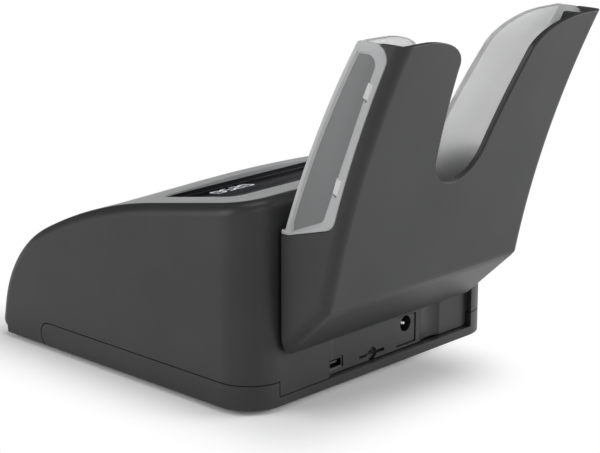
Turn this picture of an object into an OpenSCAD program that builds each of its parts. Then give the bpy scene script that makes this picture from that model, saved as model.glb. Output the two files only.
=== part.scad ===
// Countertop cash scale: a wedge-shaped body with a display, and a leaning note tray on a load cell.
// Every module places its piece from the rear wall (y = 0, +y behind it); placed() centres the whole.

/* [Body] */
// Width of the body
body_w = 143; // [136:1:172]
// Length of the body from its nose to its rear wall
body_l = 146; // [144:1:176]
// Height at which the front wall runs into the nose
nose_h = 14.8; // [12:0.1:18]
// Slope of the front wall in degrees
front_slope = 79; // [74:1:84]
// Radius of the nose
nose_r = 51; // [45:1:61]
// Slope in degrees where the nose runs into the brow
brow_slope = 28; // [26:1:31]
// Radius of the brow that holds the keys
brow_r = 215; // [200:1:258]
// Slope of the flat top in degrees
top_slope = 10.4; // [9:0.1:12]
// Radius of the edge between the top and the rear wall
rear_edge_r = 5; // [5:0.1:6]
// Radius of the edges between the top and the sides
side_edge_r = 4.5; // [3.5:0.1:5.4]
// Radius of the rear corners, seen from above
corner_r = 15.4; // [13:0.1:18.5]
// Radius of the lower front edge
toe_r = 5; // [4:0.1:6]
// Thickness of the housing walls
wall = 2.4; // [2:0.1:2.9]
// Height of the underside above the table
foot_gap = 2; // [1.6:0.1:2.6]
// Radius of a rubber foot
foot_r = 6; // [5:0.1:7.2]
// Height of the parting line at the sides
split_h = 11.4; // [10:0.1:13]
// Length of the skirt, from the rear wall to its rounded front end
skirt_l = 119.3; // [110:0.1:124]
// Gap between fixed shells
split_gap = 0.4; // [0.3:0.1:0.5]

/* [Rear bay] */
// Distance of the bay's +X end from the middle
bay_right = 29; // [27:0.5:32]
// Distance of the bay's -X end from the middle
bay_left = 57; // [46:0.5:58]
// Distance from the middle at which the rear parting line drops on the +X side
drop_right = 56; // [44:0.5:57]
// Depth of the bay
bay_d = 2.5; // [2:0.1:3]
// Height of the bay's floor
bay_low = 5.5; // [5:0.1:6]
// Height of the bay's upper edge
bay_high = 25; // [22:0.5:28]
// Place of the data socket across the body
usb_x = 22.7; // [21:0.1:24]
// Place of the card slot across the body
card_x = 1.7; // [0:0.1:4]
// Place of the power inlet across the body
jack_x = -18.8; // [-20:0.1:-16]
// Place of the finger scallop across the body
scallop_x = -33.3; // [-36:0.1:-32]

/* [Control panel] */
// Thickness of the silver frame
bezel_t = 2; // [1.6:0.1:2.4]
// Distance of the frame from the rear wall
bezel_rear = 6.6; // [6.2:0.1:8]
// Width of the frame along its sides
bezel_band = 11.5; // [9:0.1:12]
// Width of the frame at the rear
bezel_rear_band = 16; // [13:0.1:17]
// Width of the frame in front of the panel below it
bezel_front_band = 6; // [4:0.1:8]
// Length of the frame's opening for the display
display_l = 41.4; // [36:0.1:44]
// Rise of the frame over the brow, in the middle
crown = 2; // [1.6:0.1:2.4]
// Outer corner radius of the frame
bezel_r = 10; // [6:0.5:12]
// Thickness of the display window
lens_t = 1.6; // [1.2:0.1:1.8]
// Slope of the top at the row of keys, in degrees
key_slope = 25.5; // [25:0.5:26]
// Width of a key
key_w = 14; // [11:0.1:14.4]
// Length of a key along the slope
key_l = 9; // [7.5:0.1:10]
// Spacing of the keys
key_step = 18; // [17.5:0.1:18.4]
// Travel of a key
key_travel = 0.8; // [0.5:0.1:1]

/* [Load cell] */
// Length of the load cell
cell_l = 80; // [75:1:84]
// Side of the load cell's square section
cell_s = 12.7; // [10.6:0.1:15]
// Height of the load cell's underside
cell_z = 27; // [25:0.1:28]
// Distance of the load cell's free end from the rear wall
cell_y = 12; // [10:0.5:14]
// Deepest sink of the tray under load
sink = 0.6; // [0.3:0.1:0.8]

/* [Battery] */
// Width of the battery pack
pack_w = 37; // [31:0.5:37]
// Length of the battery pack
pack_l = 66; // [55:0.5:67]
// Height of the battery pack
pack_h = 18.5; // [15.5:0.5:20]
// Place of the battery pack across the body
pack_x = -38; // [-39:0.5:-37]
// Distance of the battery pack from the rear wall
pack_y = 52; // [52:0.5:54]

/* [Tray] */
// Width of the tray
tray_w = 114; // [96:1:136]
// Height of the tray's top edge
tray_top = 143; // [130:1:172]
// Height of the tray's lowest edge
tray_low = 22; // [19:0.5:24]
// Height of the fold between the tray's back and its sloping underside
fold_h = 42; // [41:0.5:44]
// Distance of the fold from the rear wall
fold_reach = 23.3; // [22.6:0.1:24.2]
// Mean lean of the tray's back in degrees
tray_lean = 19.3; // [18:0.1:20.5]
// Depth of the hollow curve of the tray's back
back_bow = 3.7; // [2.8:0.1:4.2]
// Thickness of the tray shells
tray_wall = 2.2; // [1.9:0.1:2.6]
// Gap between the tray and the rear wall
tray_gap = 2; // [1.7:0.1:2.4]
// Radius of the tray's rear corners
tray_corner_r = 4.5; // [3.8:0.1:5.4]
// Height of the front shell's lower edge
front_low = 70.6; // [66:0.1:74]
// Distance of the front shell's lower edge from the rear wall
front_reach = 3.8; // [3.2:0.1:4.4]
// Lean of the front shell at its lower edge, in degrees
front_lean = 19; // [18:0.5:21]
// Radius of the front shell's curve
front_r = 380; // [340:1:450]
// Height of the floor that the notes stand on
note_floor = 50.5; // [50:0.1:53]
// Radius at the bottom of the U-notch
notch_r = 14; // [11:0.1:16]
// Height of the bottom of the U-notch
notch_low = 83.2; // [78:0.1:90]
// Flare of the notch's sides in degrees
notch_flare = 10.5; // [5:0.5:13]
// Height of the notch's rounded shoulders
shoulder_h = 12.5; // [9:0.1:15]
// Width of the notch's rounded shoulders
shoulder_w = 25.4; // [18:0.1:26]
// Depth of the panel sunk into each side strip
strip_sink = 0.8; // [0.5:0.1:1.2]

/* [Hidden] */
$fn = 48;
tall = 200;
fit = 0.25;
run = 0.35;
bore_fit = 0.06;
edge_steps = 3;
floor_top = foot_gap + wall;

// Side outline of the body: s is the slope of the surface, and its normal leans forward by s
function nrm(s) = [-sin(s), cos(s)];
function arc(c, r, from, to, n) = [for (i = [0:n]) c + max(r, 0.05) * nrm(from + (to - from) * i / n)];
toe_c = [toe_r - body_l, foot_gap + toe_r];
toe_end = toe_c + toe_r * nrm(front_slope);
nose_start = toe_end + (nose_h - toe_end.y) * [1 / tan(front_slope), 1];
nose_c = nose_start - nose_r * nrm(front_slope);
brow_start = nose_c + nose_r * nrm(brow_slope);
brow_c = brow_start - brow_r * nrm(brow_slope);
flat_start = brow_c + brow_r * nrm(top_slope);
function flat_z(y) = flat_start.y + (y - flat_start.x) * tan(top_slope);
rear_c = [-rear_edge_r, flat_z(-rear_edge_r) - rear_edge_r / cos(top_slope)];
function profile(d, low) = concat(
    [[-d, low]],
    arc(rear_c, rear_edge_r - d, -90, top_slope, 5),
    arc(brow_c, brow_r - d, top_slope, brow_slope, 7),
    arc(nose_c, nose_r - d, brow_slope, front_slope, 9),
    arc(toe_c, toe_r - d, front_slope, 180, 6),
    [[toe_c.x + d, low]]
);

// Frame, panel and keys
bezel_half_w = body_w / 2 - side_edge_r;
panel_lap = 1.5;
key_at = brow_c + brow_r * nrm(key_slope);
key_margin = 6.8;
bezel_front = key_at.x - key_margin - bezel_front_band;
panel_half_w = bezel_half_w - bezel_band + panel_lap;
panel_rear = -bezel_rear - bezel_rear_band + panel_lap;
panel_front = bezel_front + bezel_front_band - panel_lap;
panel_low = bezel_t + wall;
panel_flange = 3;
panel_flange_t = 1.6;
lens_edge = 0.6;
display_rear = -bezel_rear - bezel_rear_band;
display_front = display_rear - display_l;
lens_rear = (display_rear - flat_start.x - lens_edge) / cos(top_slope);
lens_front = (display_front - flat_start.x + lens_edge) / cos(top_slope);
lens_half_w = panel_half_w - panel_lap - lens_edge;
lens_top = -bezel_t - 0.25;
lens_low = lens_top - lens_t;
lcd_half_w = 39.5;
lcd_front = 5;
lcd_l = 26;
lcd_t = 4;
board_t = 1.6;
display_board_z = lens_low - 0.05 - lcd_t - board_t;
display_board_half_w = 50;
display_board_front = -1;
display_board_l = 36;
display_post_x = 46;
display_post_v = [3, 31];
key_names = ["power", "menu", "up", "down", "ok", "clear"];
key_count = len(key_names);
key_proud = 2.8;
key_flange = 1;
key_flange_t = 0.8;
key_top = -bezel_t + key_proud;
key_flange_top = -panel_low - run;
key_low = key_flange_top - key_flange_t;
dome_top = key_low - key_travel - run;
dome_h = 0.6;
key_board_z = dome_top - 2 * dome_h - board_t;
key_board_half_w = 52;
key_board_half_l = 11;
key_post_x = 46;
key_post_v = 8.3;
post_r = 2.2;

// Crown of the frame over the brow: full between two slopes, gone at a third, and falling off sideways
crown_slope = [13.5, 16.5];
crown_end = 24;
crown_at = [12, 28, 42, 54];
function crown_h(x) = crown * pow(1 - pow(x / bezel_half_w, 2), 2);

// Load cell and what it carries
cell_top = cell_z + cell_s;
cell_bolt = [5, 20];
gauge_t = 0.5;
gauge_w = 8;
gauge_l = 6;
bolt_r = 2;
mount_half_w = 9;
mount_l = 24;
mount_pad_h = 7;
arm_half_w = 10;
arm_t = 5;
head_half_w = 30;
head_front = tray_gap + 1;
head_rear = 13;
ceiling = note_floor - tray_wall;
seat_gap = 0.2;
head_top = ceiling - seat_gap;
head_low = cell_top + 1.3;
window_room = 2;
stop_y = -26;
stop_r = 2.5;
stop_boss_r = 5;
stop_boss_top = 16;
stop_room = 0.2;

// Boards, sockets and battery
board_x = [-46, 40];
board_front = -48;
board_rear = -bay_d - wall - run;
board_z = 5.7;
board_top = board_z + board_t;
board_hole = 4;
board_post_r = 3;
chip_x = -30;
chip_w = 12;
chip_t = 1.6;
chip_in = 8;
amp_w = 6;
can_r = 3;
can_h = 8;
plug_x = 16;
plug_w = 8;
plug_l = 6;
plug_h = 4.6;
plug_in = 4;
ribbon_x = 27;
ribbon_w = 12;
ribbon_t = 0.6;
key_ribbon_x = -20;
key_ribbon_w = 9;
ribbon_plug_w = 12.8;
ribbon_plug_l = 5;
ribbon_plug_h = 6;
buzzer_x = 29;
buzzer_r = 6;
buzzer_h = 7;
small_screw_r = 1.2;
small_head_r = 2.2;
small_head_h = 1.4;
small_bite = 2.6;
usb_w = 7.7;
usb_h = 3.9;
usb_l = 9.2;
card_w = 14.2;
card_h = 1.9;
card_l = 15;
card_scoop_r = 2.6;
card_scoop_d = 1.2;
jack_w = 11;
jack_h = 11.3;
jack_l = 14;
jack_bore_r = 3.2;
jack_bore_l = 9.5;
jack_pin_r = 1;
jack_pin_l = jack_bore_l - 1.6;
jack_z = board_top + jack_h - 3.2;
port_face = -bay_d - 0.4;
port_room = 0.4;
scallop_w = 12.6;
scallop_sink = 1.5;
scallop_r = (scallop_w * scallop_w / 4 + scallop_sink * scallop_sink) / (2 * scallop_sink);
door_t = 1.8;
door_room = 0.4;
door_half_w = pack_w / 2 + 1.2;
door_rear = -pack_y + 1.2;
tab_swing = 4.8;
door_front = -pack_y - pack_l - tab_swing;
pack_z = foot_gap + door_t + run;
rib_t = 1.6;
rib_h = 10;
tab_x = 12;
tab_w = 6;
tab_l = 3.5;
tab_t = 1.4;
catch_half_w = 6;
catch_l = 10;
slit_w = 0.8;

// Screw towers between the two shells
tower_r = 4;
tower_top = 30;
tower_x = body_w / 2 - wall - 0.5 - tower_r;
tower_y = [-36, -108];
tower_low = 7.4;
screw_r = 1.5;
screw_head_r = 2.9;
screw_head_h = 2;
screw_pad_h = tower_low - 0.3;
foot_x = body_w / 2 - 13;
foot_y = [-17, toe_c.x + 12];
foot_seat = 0.6;

// Side outline of the tray
back_h = tray_top - fold_h;
function up_back(z) = (z - fold_h) / back_h;
function bow_at(z) = 4 * back_bow * up_back(z) * (1 - up_back(z));
function back_y(z) = fold_reach + (z - fold_h) * tan(tray_lean) - bow_at(z);
function back_lean(z) = atan(tan(tray_lean) - 4 * back_bow * (1 - 2 * up_back(z)) / back_h);
function inside_back(z, d) = [back_y(z) - d / cos(back_lean(z)), z];
function back_curve(d, low, high, n) = [for (i = [0:n]) inside_back(low + (high - low) * i / n, d)];
bevel_lean = atan2(fold_reach - tray_gap, fold_h - tray_low);
back_depth = tray_wall / cos(back_lean(fold_h));
bevel_depth = tray_wall / cos(bevel_lean);
function bevel_inner_z(y) = fold_h - (fold_reach - y - bevel_depth) / tan(bevel_lean);
inner_fold_z = fold_h + (bevel_depth - back_depth) / (tan(bevel_lean) - tan(back_lean(fold_h)));
front_c = [front_reach + front_r * cos(front_lean), front_low - front_r * sin(front_lean)];
function front_y(z, d) = front_c.x - sqrt(pow(front_r - d, 2) - pow(z - front_c.y, 2));
function front_curve(d, low, high, n) = [
    for (i = [0:n]) let (z = low + (high - low) * i / n) [front_y(z, d), z]
];
// The back is made of flat facets between knots on its curve
facets = 6;
function knot(i) = inside_back(fold_h + back_h * i / facets, 0);
inner_front = tray_gap + tray_wall;
inner_half_w = tray_w / 2 - tray_wall;
past_back = 25;
tray_outline = concat(
    [[tray_gap, tray_low], [tray_gap, front_low]],
    front_curve(0, front_low, tray_top, 8),
    [[back_y(tray_top) + past_back, tray_top]],
    [[fold_reach, fold_h] + past_back * [tan(bevel_lean), 1]]
);
pocket_outline = concat(
    [[inner_front, note_floor], [inner_front, front_low - tray_wall]],
    front_curve(tray_wall, front_low, tray_top + 2, 8),
    [inside_back(tray_top + 2, tray_wall)],
    [for (i = [facets - 1:-1:1]) inside_back(knot(i).y, tray_wall)],
    [inside_back(note_floor, tray_wall)]
);
hollow_outline = [
    [0, ceiling],
    inside_back(ceiling, tray_wall),
    inside_back(inner_fold_z, tray_wall),
    [0, bevel_inner_z(0)]
];

// Side strips of the front shell: their rear edge runs beside the rounded rear corner
strip_drop = 1.7;
strip_rise = 15.4;
strip_low = front_low - strip_drop;
strip_inset = 0.6;
function strip_rear_y(z) = inside_back(z, tray_corner_r + strip_inset).x;
strip_foot = [front_reach + 1.5, strip_low];
strip_corner_z = strip_low + (strip_rear_y(strip_low) - strip_foot.x) * tan(strip_rise)
    / (1 - tan(back_lean(strip_low)) * tan(strip_rise));
strip_corner_r = 6;
strip_gap = 0.2;
function unit(v) = v / norm(v);
// Points of a fillet of radius r at the corner p, between the neighbours a and b
function fillet(a, p, b, r, n) = let (
    u = unit(a - p),
    v = unit(b - p),
    half = acos(u * v) / 2,
    c = p + unit(u + v) * r / sin(half),
    t = [p + u * r / tan(half), p + v * r / tan(half)],
    m = unit(p - c)
) [
    for (i = [0:n]) let (k = i / n * 2 - 1, side = unit((k < 0 ? t[0] : t[1]) - c))
        c + r * unit((1 - abs(k)) * m + abs(k) * side)
];
// Plan of the tray's outside with its rounded rear corners, at the two ends and at the knots
past_low = 24;
past_top = 6;
function facet_slope(i) = (knot(i + 1) - knot(i)) / (knot(i + 1) - knot(i)).y;
tray_rows = concat(
    [knot(0) - past_low * facet_slope(0)],
    [for (i = [1:facets - 1]) knot(i)],
    [knot(facets) + past_top * facet_slope(facets - 1)]
);
tray_plan = let (side = tray_w / 2, r = tray_corner_r) concat(
    [[-side, -tall], [side, -tall]],
    fillet([side, -tall], [side, 0], [0, 0], r, 8),
    fillet([0, 0], [-side, 0], [-side, -tall], r, 8)
);
function strip_outline(g, rear, top, foot, r, top_r) = let (
    far = [front_y(tray_top, 0) - 60, top],
    start = strip_foot + [0, foot - g],
    corner = [strip_rear_y(strip_corner_z) - rear + g, strip_corner_z + foot - g],
    edge = [for (i = [1:4]) let (z = corner.y + (top - corner.y) * i / 4) [strip_rear_y(z) - rear + g, z]]
) concat(
    [far, [far.x, start.y], start],
    fillet(start, corner, edge[0], r, 4),
    [edge[0], edge[1]],
    fillet(edge[2], edge[3], far, top_r, 4)
);
strip_top_r = 5;
strip_rim_rear = 5;
strip_rim_top = 2.6;
strip_rim_front = 1.8;
strip_rim_low = 1.6;
clip_w = 3;
clip_h = 7;
clip_in = 3.4;
clip_z = [front_low + 19.9, tray_top - 16.9];
clip_room = 0.3;
flange_t = 2;
flange_most = 10.5;
mouth = (back_y(tray_top) - front_y(tray_top, tray_wall)) * cos(back_lean(tray_top));
flange_l = min(flange_most, mouth - tray_wall - 1.2);
flange_ends = [strip_corner_z + 8, tray_top - 2];
flange_outline = concat(
    back_curve(tray_wall - 0.5, flange_ends[0], flange_ends[1], 4),
    [for (i = [4:-1:0]) back_curve(tray_wall + flange_l, flange_ends[0], flange_ends[1], 4)[i]]
);

// U-notch, as an outline across the tray
notch_c = notch_low + notch_r;
shoulder_z = tray_top - shoulder_h;
function flare_x(z) = notch_r / cos(notch_flare) + (z - notch_c) * tan(notch_flare);
notch_half = concat(
    [for (i = [0:8]) let (a = -90 + (90 - notch_flare) * i / 8)
        [notch_r * cos(a), notch_c + notch_r * sin(a)]],
    [for (i = [0:8]) let (a = 90 * i / 8)
        [flare_x(shoulder_z) + shoulder_w * (1 - cos(a)), shoulder_z + shoulder_h * sin(a)]],
    [[flare_x(shoulder_z) + shoulder_w, tray_top + 5]]
);
notch_outline = concat(
    notch_half,
    [for (i = [len(notch_half) - 1:-1:1]) [-notch_half[i].x, notch_half[i].y]]
);

centre_y = (body_l - back_y(tray_top)) / 2;

charcoal = "#3d3e40";
black = "#17181a";
silver = "#a9abad";
steel = "#b9bcc0";
green = "#23603c";
ribbon_grey = "#c9c4b4";

// Limits of a block: from a start over a length, or both ways from a middle
function from(start, length) = [start, start + length];
function about(middle, half) = [middle - half, middle + half];

// Shared shapes
module placed() translate([0, centre_y, 0]) children();
module across(w) rotate([90, 0, 90]) linear_extrude(w, center = true) children();
module upward(low, high) translate([0, 0, low]) linear_extrude(high - low) children();
module block(x, y, z) translate([x[0], y[0], z[0]]) cube([x[1] - x[0], y[1] - y[0], z[1] - z[0]]);
module rod(r, low, high) translate([0, 0, low]) cylinder(r = r, h = high - low);
module both_sides() {
    children();
    mirror([1, 0, 0]) children();
}
module on_flat() translate([0, flat_start.x, flat_start.y]) rotate([top_slope, 0, 0]) children();
module on_keys() translate([0, key_at.x, key_at.y]) rotate([key_slope, 0, 0]) children();

// Rectangle with round corners, from its limits along x and y
module rounded(x, y, r) {
    translate([x[0] + r, y[0]]) square([x[1] - x[0] - 2 * r, y[1] - y[0]]);
    translate([x[0], y[0] + r]) square([x[1] - x[0], y[1] - y[0] - 2 * r]);
    for (px = [x[0] + r, x[1] - r], py = [y[0] + r, y[1] - r]) translate([px, py]) circle(r);
}

// The body's plan, drawn in by d
module plan(d) {
    translate([d - body_w / 2, -body_l - 1]) square([body_w - 2 * d, body_l + 1 - corner_r]);
    translate([corner_r - body_w / 2, -corner_r - 1]) square([body_w - 2 * corner_r, corner_r + 1 - d]);
    for (side = [-1, 1]) translate([side * (body_w / 2 - corner_r), -corner_r]) circle(corner_r - d);
}

// The whole outside of the body, with rounded edges along its sides
module body_block() intersection() {
    hull() for (i = [0:edge_steps]) let (a = 90 * i / edge_steps)
        across(body_w - 2 * side_edge_r * (1 - cos(a)))
            polygon(profile(side_edge_r * (1 - sin(a)), foot_gap));
    upward(-1, tall) plan(0);
}

// The body's inside, d below its surface
module body_inside(d, low) intersection() {
    across(body_w - 2 * d) polygon(profile(d, low));
    upward(low - 1, tall) plan(d);
}

// A sheet that follows the top between two depths
module top_sheet(from, to) difference() {
    across(body_w) polygon(profile(from, foot_gap));
    across(body_w + 2) polygon(profile(to, foot_gap - 1));
}

module bezel_area(d) upward(floor_top + 20, tall)
    rounded([-bezel_half_w + d, bezel_half_w - d], [bezel_front + d, -bezel_rear - d], bezel_r - d);
module panel_area(d) upward(floor_top + 20, tall)
    rounded([-panel_half_w + d, panel_half_w - d], [panel_front + d, panel_rear - d], bezel_r / 2 - d);

// Side outline of the lower shell's skirt, grown by g
module skirt_side(g) {
    end_r = (split_h - foot_gap) / 2;
    translate([end_r - skirt_l, foot_gap + end_r]) circle(end_r + g);
    translate([end_r - skirt_l, -1]) square([skirt_l + tall, split_h + g + 1]);
}
// Where the upper shell reaches down between the two ends of the rear parting line
module drop(g) block([-bay_left + g, drop_right - g], [-bay_d - wall - 1, 5], [bay_low + g, bay_high]);

module top_housing() color(charcoal) difference() {
    union() {
        difference() {
            body_block();
            body_inside(wall, foot_gap - 1);
            difference() {
                across(tall) skirt_side(split_gap);
                drop(split_gap);
            }
        }
        intersection() {
            top_sheet(bezel_t, panel_low);
            bezel_area(-panel_flange + split_gap);
            upward(-1, tall) plan(wall / 2);
            block([-tall, tall], [-tall, -panel_low - split_gap], [0, tall]);
        }
        block([-bay_left - wall, bay_right + wall], [-bay_d - wall, -wall / 2],
            [split_h + split_gap, bay_high + wall]);
        block([-bay_left + split_gap, bay_right + wall], [-bay_d - wall, -wall / 2],
            [bay_low + split_gap, split_h + 1]);
        intersection() {
            both_sides() for (y = tower_y) translate([tower_x, y, 0]) {
                rod(tower_r, tower_low, tower_top);
                block([0, tower_r + wall], [-1, 1], [split_h + 1, tower_top]);
            }
            body_inside(wall / 2, foot_gap);
        }
    }
    intersection() {
        bezel_area(-fit);
        top_sheet(-2, bezel_t);
    }
    panel_area(-fit);
    block([-bay_left, bay_right], [-bay_d, 5], [bay_low, bay_high]);
    block([-arm_half_w - window_room, arm_half_w + window_room], [-wall - 1, 1],
        [cell_top - window_room, cell_top + arm_t + window_room]);
    both_sides() for (y = tower_y) translate([tower_x, y, 0])
        rod(screw_r + bore_fit, tower_low - 1, tower_top - 6);
    socket_holes();
}

// Openings in the bay for the three sockets, and the finger scallop beside them
module socket_holes() {
    depth = [-bay_d - wall - 1, 1];
    block(about(usb_x, usb_w / 2 + port_room), depth, [board_top, board_top + usb_h + 0.4 + port_room]);
    block(about(card_x, card_w / 2 + port_room / 2), depth, [board_top + 0.4, board_top + card_h - 0.2]);
    translate([card_x, 0, board_top + card_h / 2]) rotate([90, 0, 0])
        cylinder(r = card_scoop_r, h = bay_d + card_scoop_d);
    block(about(jack_x, jack_w / 2 + port_room), depth,
        [board_top - port_room, board_top + jack_h + port_room]);
    translate([scallop_x, scallop_r - bay_d - scallop_sink, 0]) rod(scallop_r, bay_low, bay_high - 4);
}

module bottom_shell() color(charcoal) difference() {
    union() {
        difference() {
            intersection() {
                body_block();
                across(tall) skirt_side(0);
            }
            intersection() {
                body_inside(wall, foot_gap);
                upward(floor_top, tall) plan(0);
            }
            drop(0);
        }
        intersection() {
            body_inside(wall + split_gap, foot_gap);
            upward(0, floor_top) plan(0);
        }
        both_sides() for (y = tower_y) translate([tower_x, y, 0]) rod(tower_r, floor_top - 1, screw_pad_h);
        block([-mount_half_w - 3, mount_half_w + 3], [-cell_y - cell_l - 3, -cell_y - cell_l + mount_l + 3],
            [floor_top - 1, mount_pad_h]);
        translate([0, stop_y, 0]) rod(stop_boss_r, floor_top - 1, stop_boss_top);
        board_corners() rod(board_post_r, floor_top - 1, board_z);
        battery_ribs();
    }
    both_sides() for (y = tower_y) translate([tower_x, y, 0]) {
        rod(screw_head_r + fit, 0, foot_gap + screw_head_h + 0.6);
        rod(screw_r + fit, 0, tower_low);
    }
    for (b = cell_bolt) translate([0, -cell_y - cell_l + b, 0]) {
        rod(2 * bolt_r + fit, 0, mount_pad_h - 2.4);
        rod(bolt_r + fit, 0, mount_pad_h + 1);
    }
    translate([0, stop_y, 0]) rod(stop_r + bore_fit, floor_top + 1, stop_boss_top + 1);
    board_corners() rod(small_screw_r + bore_fit, board_z - 2.6, board_z + 1);
    feet_at() rod(foot_r + fit, 0, foot_gap + foot_seat);
    block(about(pack_x, door_half_w + door_room), [door_front - door_room, door_rear + door_room],
        [0, floor_top + 0.2]);
}

module battery_ribs() {
    side = pack_w / 2 + run;
    rib_reach = door_half_w + door_room - side + 0.2;
    long = [-pack_y - pack_l, -pack_y];
    for (s = [-1, 1]) translate([pack_x + s * (door_half_w + door_room + rib_t / 2), 0, 0])
        block([-rib_t / 2, rib_t / 2], [door_front - door_room, long[1]],
            [floor_top - 1, floor_top + rib_h]);
    for (s = [-1, 1]) for (y = [long[0] + 8, long[1] - 8])
        translate([pack_x + s * (side + rib_reach / 2), 0, 0])
            block([-0.5, 0.5] * rib_reach, about(y, 1), [floor_top + 0.6, floor_top + rib_h]);
    block(about(pack_x, side * 0.8), from(door_rear + door_room, rib_t),
        [floor_top - 1, floor_top + rib_h]);
    block(about(pack_x, side * 0.3), from(door_front - door_room - rib_t, rib_t),
        [floor_top - 1, floor_top + rib_h]);
}

module board_corners() for (x = [board_x[0] + board_hole, board_x[1] - board_hole])
    for (y = [board_front + board_hole, board_rear - board_hole - 4]) translate([x, y, 0]) children();
module feet_at() both_sides() for (y = foot_y) translate([foot_x, y, 0]) children();

module bezel_frame() color(silver) difference() {
    intersection() {
        union() {
            top_sheet(0, bezel_t);
            difference() {
                crown_block();
                across(body_w + 2) polygon(profile(bezel_t / 2, foot_gap - 1));
            }
        }
        bezel_area(0);
    }
    upward(0, tall)
        rounded([-1, 1] * (bezel_half_w - bezel_band), [display_front, display_rear], bezel_r / 2);
    key_holes();
}
// The block below the frame's crown
module crown_block() hull() {
    across(2 * bezel_half_w) polygon(arc(brow_c, brow_r - bezel_t / 4, top_slope, crown_end, 7));
    for (x = crown_at)
        across(2 * x) polygon(arc(brow_c, brow_r + crown_h(x), crown_slope[0], crown_slope[1], 2));
}
module key_holes() on_keys() for (i = [0:key_count - 1]) translate([key_x(i), 0, -20])
    linear_extrude(30) rounded([-1, 1] * (key_w / 2 + run), [-1, 1] * (key_l / 2 + run), 2 + run);

module control_panel() color(black) difference() {
    union() {
        intersection() {
            top_sheet(bezel_t, panel_low + 0.1);
            panel_area(0);
        }
        intersection() {
            top_sheet(panel_low, panel_low + panel_flange_t);
            difference() {
                panel_area(-panel_flange);
                panel_area(panel_flange);
            }
        }
        on_flat() both_sides() for (v = display_post_v) translate([display_post_x, v, 0])
            rod(post_r, display_board_z + board_t, -panel_low + 0.4);
        on_keys() both_sides() for (v = [-1, 1] * key_post_v) translate([key_post_x, v, 0])
            rod(post_r, key_board_z + board_t, -panel_low + 0.4);
    }
    on_flat() {
        block([-1, 1] * (lens_half_w + fit), [lens_front - fit, lens_rear + fit], [lens_low, 5]);
        block([-1, 1] * (lcd_half_w + fit), [lcd_front - fit, lcd_front + lcd_l + fit], [-20, 5]);
        both_sides() for (v = display_post_v) translate([display_post_x, v, 0])
            rod(small_screw_r + bore_fit, display_board_z, display_board_z + board_t + 3);
    }
    on_keys() both_sides() for (v = [-1, 1] * key_post_v) translate([key_post_x, v, 0])
        rod(small_screw_r + bore_fit, key_board_z, key_board_z + board_t + 3);
    key_holes();
}
function key_x(i) = (i - (key_count - 1) / 2) * key_step;

module display_window() color(black) on_flat()
    block([-lens_half_w, lens_half_w], [lens_front, lens_rear], [lens_low, lens_top]);

module lcd_module() color("#2a3138") on_flat()
    block([-lcd_half_w, lcd_half_w], from(lcd_front, lcd_l), from(display_board_z + board_t, lcd_t));

module display_board() color(green) on_flat() difference() {
    block([-display_board_half_w, display_board_half_w], from(display_board_front, display_board_l),
        from(display_board_z, board_t));
    both_sides() for (v = display_post_v) translate([display_post_x, v, 0])
        rod(small_screw_r + fit, display_board_z - 1, display_board_z + board_t + 1);
}

module key_board() color(green) on_keys() difference() {
    block([-1, 1] * key_board_half_w, [-1, 1] * key_board_half_l, from(key_board_z, board_t));
    both_sides() for (v = [-1, 1] * key_post_v) translate([key_post_x, v, 0])
        rod(small_screw_r + fit, key_board_z - 1, key_board_z + board_t + 1);
}

module key_dome_sheet() color("#8f9296") on_keys() {
    base = key_board_z + board_t;
    block([-1, 1] * key_board_half_w, [-1, 1] * (key_post_v - post_r - run), from(base, dome_h));
    for (i = [0:key_count - 1]) translate([key_x(i), 0, base])
        cylinder(r1 = 4, r2 = 2.6, h = 2 * dome_h);
}

module key(i) color("#55585c") on_keys() translate([key_x(i), 0, 0]) {
    upward(key_low, key_top) rounded([-1, 1] * key_w / 2, [-1, 1] * key_l / 2, 2);
    upward(key_low, key_flange_top)
        rounded([-1, 1] * (key_w / 2 + key_flange), [-1, 1] * (key_l / 2 + key_flange), 2 + key_flange);
}

module panel_screws() color(steel) {
    on_flat() both_sides() for (v = display_post_v)
        translate([display_post_x, v, display_board_z]) small_screw();
    on_keys() both_sides() for (v = [-1, 1] * key_post_v)
        translate([key_post_x, v, key_board_z]) small_screw();
}
// A small screw that enters upwards through a board, with its head below
module small_screw() {
    rod(small_head_r, -small_head_h, 0);
    rod(small_screw_r, -0.1, board_t + small_bite);
}

module main_board() color(green) difference() {
    block(board_x, [board_front, board_rear], [board_z, board_top]);
    board_corners() rod(small_screw_r + fit, board_z - 1, board_top + 1);
    translate([0, stop_y, 0]) rod(stop_boss_r + 0.8, board_z - 1, board_top + 1);
}

module board_screws() color(steel) board_corners() {
    rod(small_head_r, board_top, board_top + small_head_h);
    rod(small_screw_r, board_z - 2.4, board_top + 0.1);
}

module board_chips() color("#26282b") {
    translate([chip_x, board_front, board_top]) {
        block([-chip_w / 2, chip_w / 2], from(chip_in, chip_w), [0, chip_t]);
        block(about(chip_w + chip_in, amp_w / 2), from(plug_in, amp_w), [0, chip_t]);
        for (i = [0, 1]) translate([i * chip_in, chip_in + chip_w + 6, 0]) rod(can_r, 0, can_h);
    }
    block(about(plug_x, plug_w / 2), from(board_front + plug_in, plug_l), from(board_top, plug_h));
    block(about(ribbon_x, ribbon_plug_w / 2), from(board_front + 2, ribbon_plug_l),
        from(board_top, ribbon_plug_h));
}

module buzzer() color(black) translate([buzzer_x, stop_y - 2, board_top]) difference() {
    rod(buzzer_r, 0, buzzer_h);
    rod(1, buzzer_h - 2, buzzer_h + 1);
}

module data_socket() color(steel) translate([usb_x, port_face, board_top]) {
    difference() {
        block([-1, 1] * usb_w / 2, [-usb_l, 0], [0, usb_h + 0.4]);
        block([-1, 1] * (usb_w / 2 - 0.4), [-usb_l + 1, 1], [0.8, usb_h]);
    }
    block([-2.4, 2.4], [-usb_l + 0.5, -1.2], [1.9, 2.8]);
}

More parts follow.
